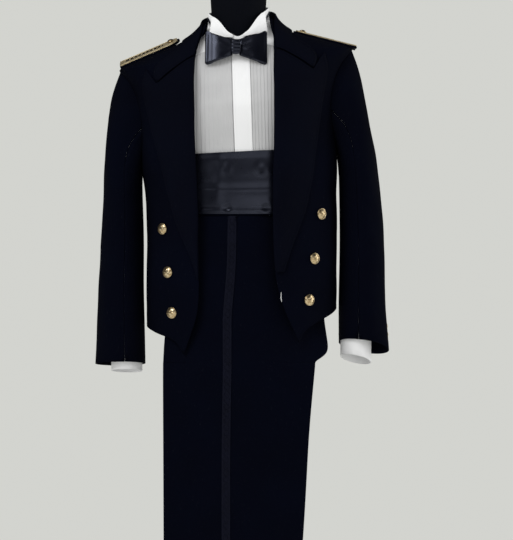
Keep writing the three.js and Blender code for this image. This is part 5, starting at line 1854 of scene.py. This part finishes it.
@dataclass
class Trousers:
    """The trousers, folded on their creases: panels, waistband and the braid on the outer seams."""

    braid_pitch: float = 0.026
    braid_reach: float = 0.0052
    cord_half: float = 0.0009
    cuts: dict[str, tuple[float, float, float]] = field(default_factory=lambda: {
        "trouser_front_near": (0.257, 1.089, 0.2745), "trouser_back_near": (0.341, 1.234, 0.2929),
        "waistband_near": (0.447, 0.040, 0.0179), "braid_near": (0.018, 1.080, 0.0186),
        "trouser_front_far": (0.257, 1.088, 0.2718), "trouser_back_far": (0.340, 1.234, 0.2891),
        "waistband_far": (0.428, 0.040, 0.0171), "braid_far": (0.017, 1.079, 0.0181),
    })

    def build(self, wardrobe: Wardrobe) -> None:
        """Builds the trousers.

        Args:
            wardrobe: dresses the pieces.
        """
        rest = {"near": ("trouser_front_far", "form_torso"), "far": ("form_torso",)}
        for layer, drape in LEG_DRAPE.items():
            hem = Hem("hem", lambda p: p.z < 0.09, 0.032, 0.0055, 0.00022)
            for part in ("front", "back"):
                node = f"trouser_{part}_{layer}"
                Cloth(node, WOOL, drape, Cut(*self.cuts[node], Held.HUNG, rest[layer]),
                      levels=3 if layer == "near" else 2, hems=(hem,)).build(wardrobe)
            node = f"waistband_{layer}"
            Cloth(node, WOOL, Drape(drape.chart), Cut(*self.cuts[node], Held.HUNG, rest[layer]),
                  levels=1).build(wardrobe)
            node = f"braid_{layer}"
            braid = Cloth(node, BRAID, drape, Cut(*self.cuts[node], Held.LAID, (f"trouser_front_{layer}",)),
                          edge=0.0003).build(wardrobe)
            self.scrolls(layer, braid, wardrobe)

    def scrolls(self, layer: str, braid: bpy.types.Object, wardrobe: Wardrobe) -> None:
        """Two fine cords that wind round each other down the braid.

        Args:
            layer: "near" or "far".
            braid: the dressed braid.
            wardrobe: dresses the pieces.
        """
        points = coordinates(braid.data)
        out = -1.0 if layer == "near" else 1.0
        tree = surface_tree(braid.data)
        low, high = points[:, 2].min() + 0.004, points[:, 2].max() - 0.004
        heights = np.arange(low, high, self.braid_pitch / 14)
        order = np.argsort(points[:, 2])
        near_x = np.interp(heights, points[order, 2], self.running_mean(points[order, 0]))
        bodies = []
        for phase in (0.0, math.pi):
            path = []
            for z, x in zip(heights, near_x):
                swing = self.braid_reach * math.sin(2 * math.pi * z / self.braid_pitch + phase)
                hit = tree.ray_cast(Vector((x + swing, out * 0.4 - 0.12, z)), Vector((0, -out, 0)), 0.6)
                if hit[0] is not None:
                    path.append(np.array(hit[0]) + np.array([0.0, out * 0.0002, 0.0]))
            bodies.append(tube(np.array(path), self.cord_half, 6, flat=0.6, up=np.array([0.0, out, 0.0])))
        joined_points, faces = joined(bodies)
        mesh = mesh_of("braid_scroll", joined_points, faces)
        place_threads(mesh, joined_points[:, [0, 2]])
        wardrobe.dress(f"braid_scroll_{layer}", mesh, BRAID)

    @staticmethod
    def running_mean(values: np.ndarray, reach: int = 60) -> np.ndarray:
        """Each value's mean with its neighbours.

        Args:
            values: the values, in order.
            reach: how many neighbours on each side.

        Returns:
            The means.
        """
        reach = min(reach, len(values) // 4)
        padded = np.pad(values, reach, mode="edge")
        return np.convolve(padded, np.ones(2 * reach + 1) / (2 * reach + 1), mode="valid")


# ---------------------------------------------------------------- dress form


@dataclass
class DressForm:
    """The limbless form: a jersey covered torso and neck on a turned pole and base."""

    sides: int = 72
    base_rows: tuple[tuple[float, float], ...] = (
        (0.020, 0.0), (0.168, 0.0), (0.1745, 0.0015), (0.1775, 0.005), (0.1772, 0.010), (0.1745, 0.0134),
        (0.166, 0.0160), (0.150, 0.0195), (0.128, 0.0232), (0.104, 0.0272), (0.082, 0.0315), (0.064, 0.0362),
        (0.050, 0.0410), (0.0405, 0.0455), (0.0365, 0.0490), (0.0380, 0.0515), (0.0375, 0.0545), (0.0320, 0.0572),
        (0.0285, 0.0610), (0.0275, 0.0665), (0.0290, 0.0700), (0.0280, 0.0745), (0.0245, 0.0764), (0.0100, 0.0764),
    )

    def build(self, wardrobe: Wardrobe) -> None:
        """Builds the form and its stand.

        Args:
            wardrobe: dresses the pieces.
        """
        body = Chart(Facing.ROUND, radius=0.10)
        gathers = folds(*((x, 1600, x * 1.25, 1556, 3.2, h) for x, h in (
            (-34, -0.7), (-21, 0.6), (-10, -0.8), (2, -0.6), (12, 0.7), (24, -0.7), (36, 0.5))))
        Cloth("form_torso", JERSEY, Drape(body, gathers)).build(wardrobe)
        Cloth("form_neck_cap", JERSEY, Drape(body)).build(wardrobe)
        base_low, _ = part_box("form_base")
        self.turn("form_base", [(r, base_low.z + h) for r, h in self.base_rows], wardrobe)
        low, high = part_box("form_pole")
        top = high.z
        pole = [(0.004, low.z), (0.0125, low.z), (0.0125, low.z + 0.20), (0.0146, low.z + 0.203),
                (0.0150, low.z + 0.212), (0.0146, low.z + 0.221), (0.0125, low.z + 0.224), (0.0125, top - 0.030),
                (0.0135, top - 0.0225), (0.0185, top - 0.0155), (0.0265, top - 0.0095), (0.0296, top - 0.0060),
                (0.0300, top - 0.0030), (0.0292, top - 0.0003), (0.0100, top)]
        self.turn("form_pole", pole, wardrobe)

    def turn(self, node: str, profile: Sequence[tuple[float, float]], wardrobe: Wardrobe) -> None:
        """Turns a stand part from rows of radius and height.

        Args:
            node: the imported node's name.
            profile: rows of radius and height.
            wardrobe: dresses the pieces.
        """
        turns = 2 * math.pi * np.arange(self.sides) / self.sides
        rings = np.array([np.stack([r * np.cos(turns), r * np.sin(turns), np.full(self.sides, z)], 1)
                          for r, z in profile])
        points, faces = turned(rings)
        wardrobe.dress(f"{node}_turned", mesh_of(node, points, faces), STAND, [node])


# ---------------------------------------------------------------- studio


@dataclass
class Studio:
    """The pale floor, the soft lights and the camera of the photograph."""

    camera_at: tuple[float, float, float] = (0.036, -2.600, 1.200)
    aim_z: float = 1.0465
    frame_height: float = 1.107
    sensor: float = 36.0
    backdrop: tuple[float, float, float] = (0.650, 0.656, 0.624)
    floor_colour: tuple[float, float, float] = (0.66, 0.66, 0.64)
    ambient: float = 0.72
    glossy_ambient: float = 0.05

    def build(self) -> None:
        """Sets up the studio."""
        self.add_camera()
        self.add_world()
        self.add_floor()
        self.add_light("key", (-2.0, -2.6, 3.9), 1.8, 1.8, 66.0, gloss=0.25)
        self.add_light("front_right", (0.95, -3.4, 1.35), 2.9, 1.2, 12.0)
        self.add_light("right_edge", (3.0, 0.4, 1.9), 1.2, 2.2, 30.0)
        bpy.context.scene.view_settings.view_transform = "Standard"

    def add_camera(self) -> None:
        """The camera: level across, and turned down to the middle of the photograph."""
        x, y, z = self.camera_at
        data = bpy.data.cameras.new("photo_camera")
        data.sensor_fit = "AUTO"
        data.sensor_width = self.sensor
        away = math.hypot(y, z - self.aim_z)
        data.lens = self.sensor * away / self.frame_height
        data.clip_end = 60.0
        camera = bpy.data.objects.new("photo_camera", data)
        camera.location = self.camera_at
        camera.rotation_euler = (math.pi / 2 - math.atan2(z - self.aim_z, -y), 0.0, 0.0)
        bpy.context.scene.collection.objects.link(camera)
        bpy.context.scene.camera = camera

    def add_world(self) -> None:
        """A plain pale surround, dimmer to gloss than it looks, as a studio with dark flags is."""
        world = bpy.data.worlds.new("studio")
        world.use_nodes = True
        tree = NodeTree(world.node_tree)
        seen = world.node_tree.nodes["Background"]
        seen.inputs[0].default_value = (*self.backdrop, 1.0)
        light = tree.add("ShaderNodeBackground")
        light.inputs[0].default_value = (1.0, 1.0, 1.0, 1.0)
        path = tree.add("ShaderNodeLightPath")
        strength = tree.math("MULTIPLY_ADD", path.outputs["Is Glossy Ray"], self.glossy_ambient - self.ambient,
                             self.ambient)
        tree.put(light.inputs[1], strength)
        mix = tree.add("ShaderNodeMixShader")
        tree.put(mix.inputs[0], path.outputs["Is Camera Ray"])
        tree.put(mix.inputs[1], light.outputs[0])
        tree.put(mix.inputs[2], seen.outputs[0])
        tree.put(world.node_tree.nodes["World Output"].inputs[0], mix.outputs[0])
        bpy.context.scene.world = world

    def add_floor(self) -> None:
        """A plain pale floor that meets the backdrop without a line, with a soft shade under the stand."""
        bm = bmesh.new()
        bmesh.ops.create_circle(bm, cap_ends=True, radius=25.0, segments=96)
        mesh = bpy.data.meshes.new("floor")
        bm.to_mesh(mesh)
        bm.free()
        material = bpy.data.materials.new("floor")
        material.use_nodes = True
        tree = NodeTree(material.node_tree)
        shader = material.node_tree.nodes["Principled BSDF"]
        shader.inputs["Base Color"].default_value = (*self.floor_colour, 1.0)
        shader.inputs["Roughness"].default_value = 0.9
        shader.inputs["Specular IOR Level"].default_value = 0.1
        # Ambient occlusion dims the backdrop colour that the floor shows near the stand: a painted shadow.
        near = tree.add("ShaderNodeAmbientOcclusion", samples=8)
        near.inputs["Distance"].default_value = 0.35
        seen = tree.add("ShaderNodeEmission")
        tree.put(seen.inputs[0], (*self.backdrop, 1.0))
        tree.put(seen.inputs[1], tree.ranged(near.outputs["AO"], 0.0, 1.0, 0.55, 1.0))
        mix = tree.add("ShaderNodeMixShader")
        tree.put(mix.inputs[0], tree.add("ShaderNodeLightPath").outputs["Is Camera Ray"])
        tree.put(mix.inputs[1], shader.outputs[0])
        tree.put(mix.inputs[2], seen.outputs[0])
        tree.put(material.node_tree.nodes["Material Output"].inputs[0], mix.outputs[0])
        mesh.materials.append(material)
        floor = bpy.data.objects.new("floor", mesh)
        bpy.context.scene.collection.objects.link(floor)

    def add_light(self, name: str, at: tuple[float, float, float], width: float, height: float, power: float,
                  gloss: float = 1.0) -> None:
        """A soft box that faces the middle of the uniform, with less gloss where it is flagged.

        Args:
            name: the light's name.
            at: where it stands.
            width: its width.
            height: its height.
            power: its power in watts.
            gloss: its share in reflections.
        """
        data = bpy.data.lights.new(name, "AREA")
        data.shape = "RECTANGLE"
        data.size, data.size_y = width, height
        data.energy = power
        data.specular_factor = gloss
        lamp = bpy.data.objects.new(name, data)
        lamp.location = at
        lamp.rotation_euler = (Vector((0.0, 0.0, 1.15)) - Vector(at)).to_track_quat("-Z", "Y").to_euler()
        bpy.context.scene.collection.objects.link(lamp)


def main() -> None:
    logging.basicConfig(level=logging.INFO, format="%(name)s: %(message)s")
    Studio().build()
    wardrobe = Wardrobe()
    DressForm().build(wardrobe)
    Trousers().build(wardrobe)
    Shirt().build(wardrobe)
    Cummerbund().build(wardrobe)
    BowTie().build(wardrobe)
    Jacket().build(wardrobe)
    for side in Side:
        ShoulderBoard(side).build(wardrobe)


if __name__ == "__main__":
    main()
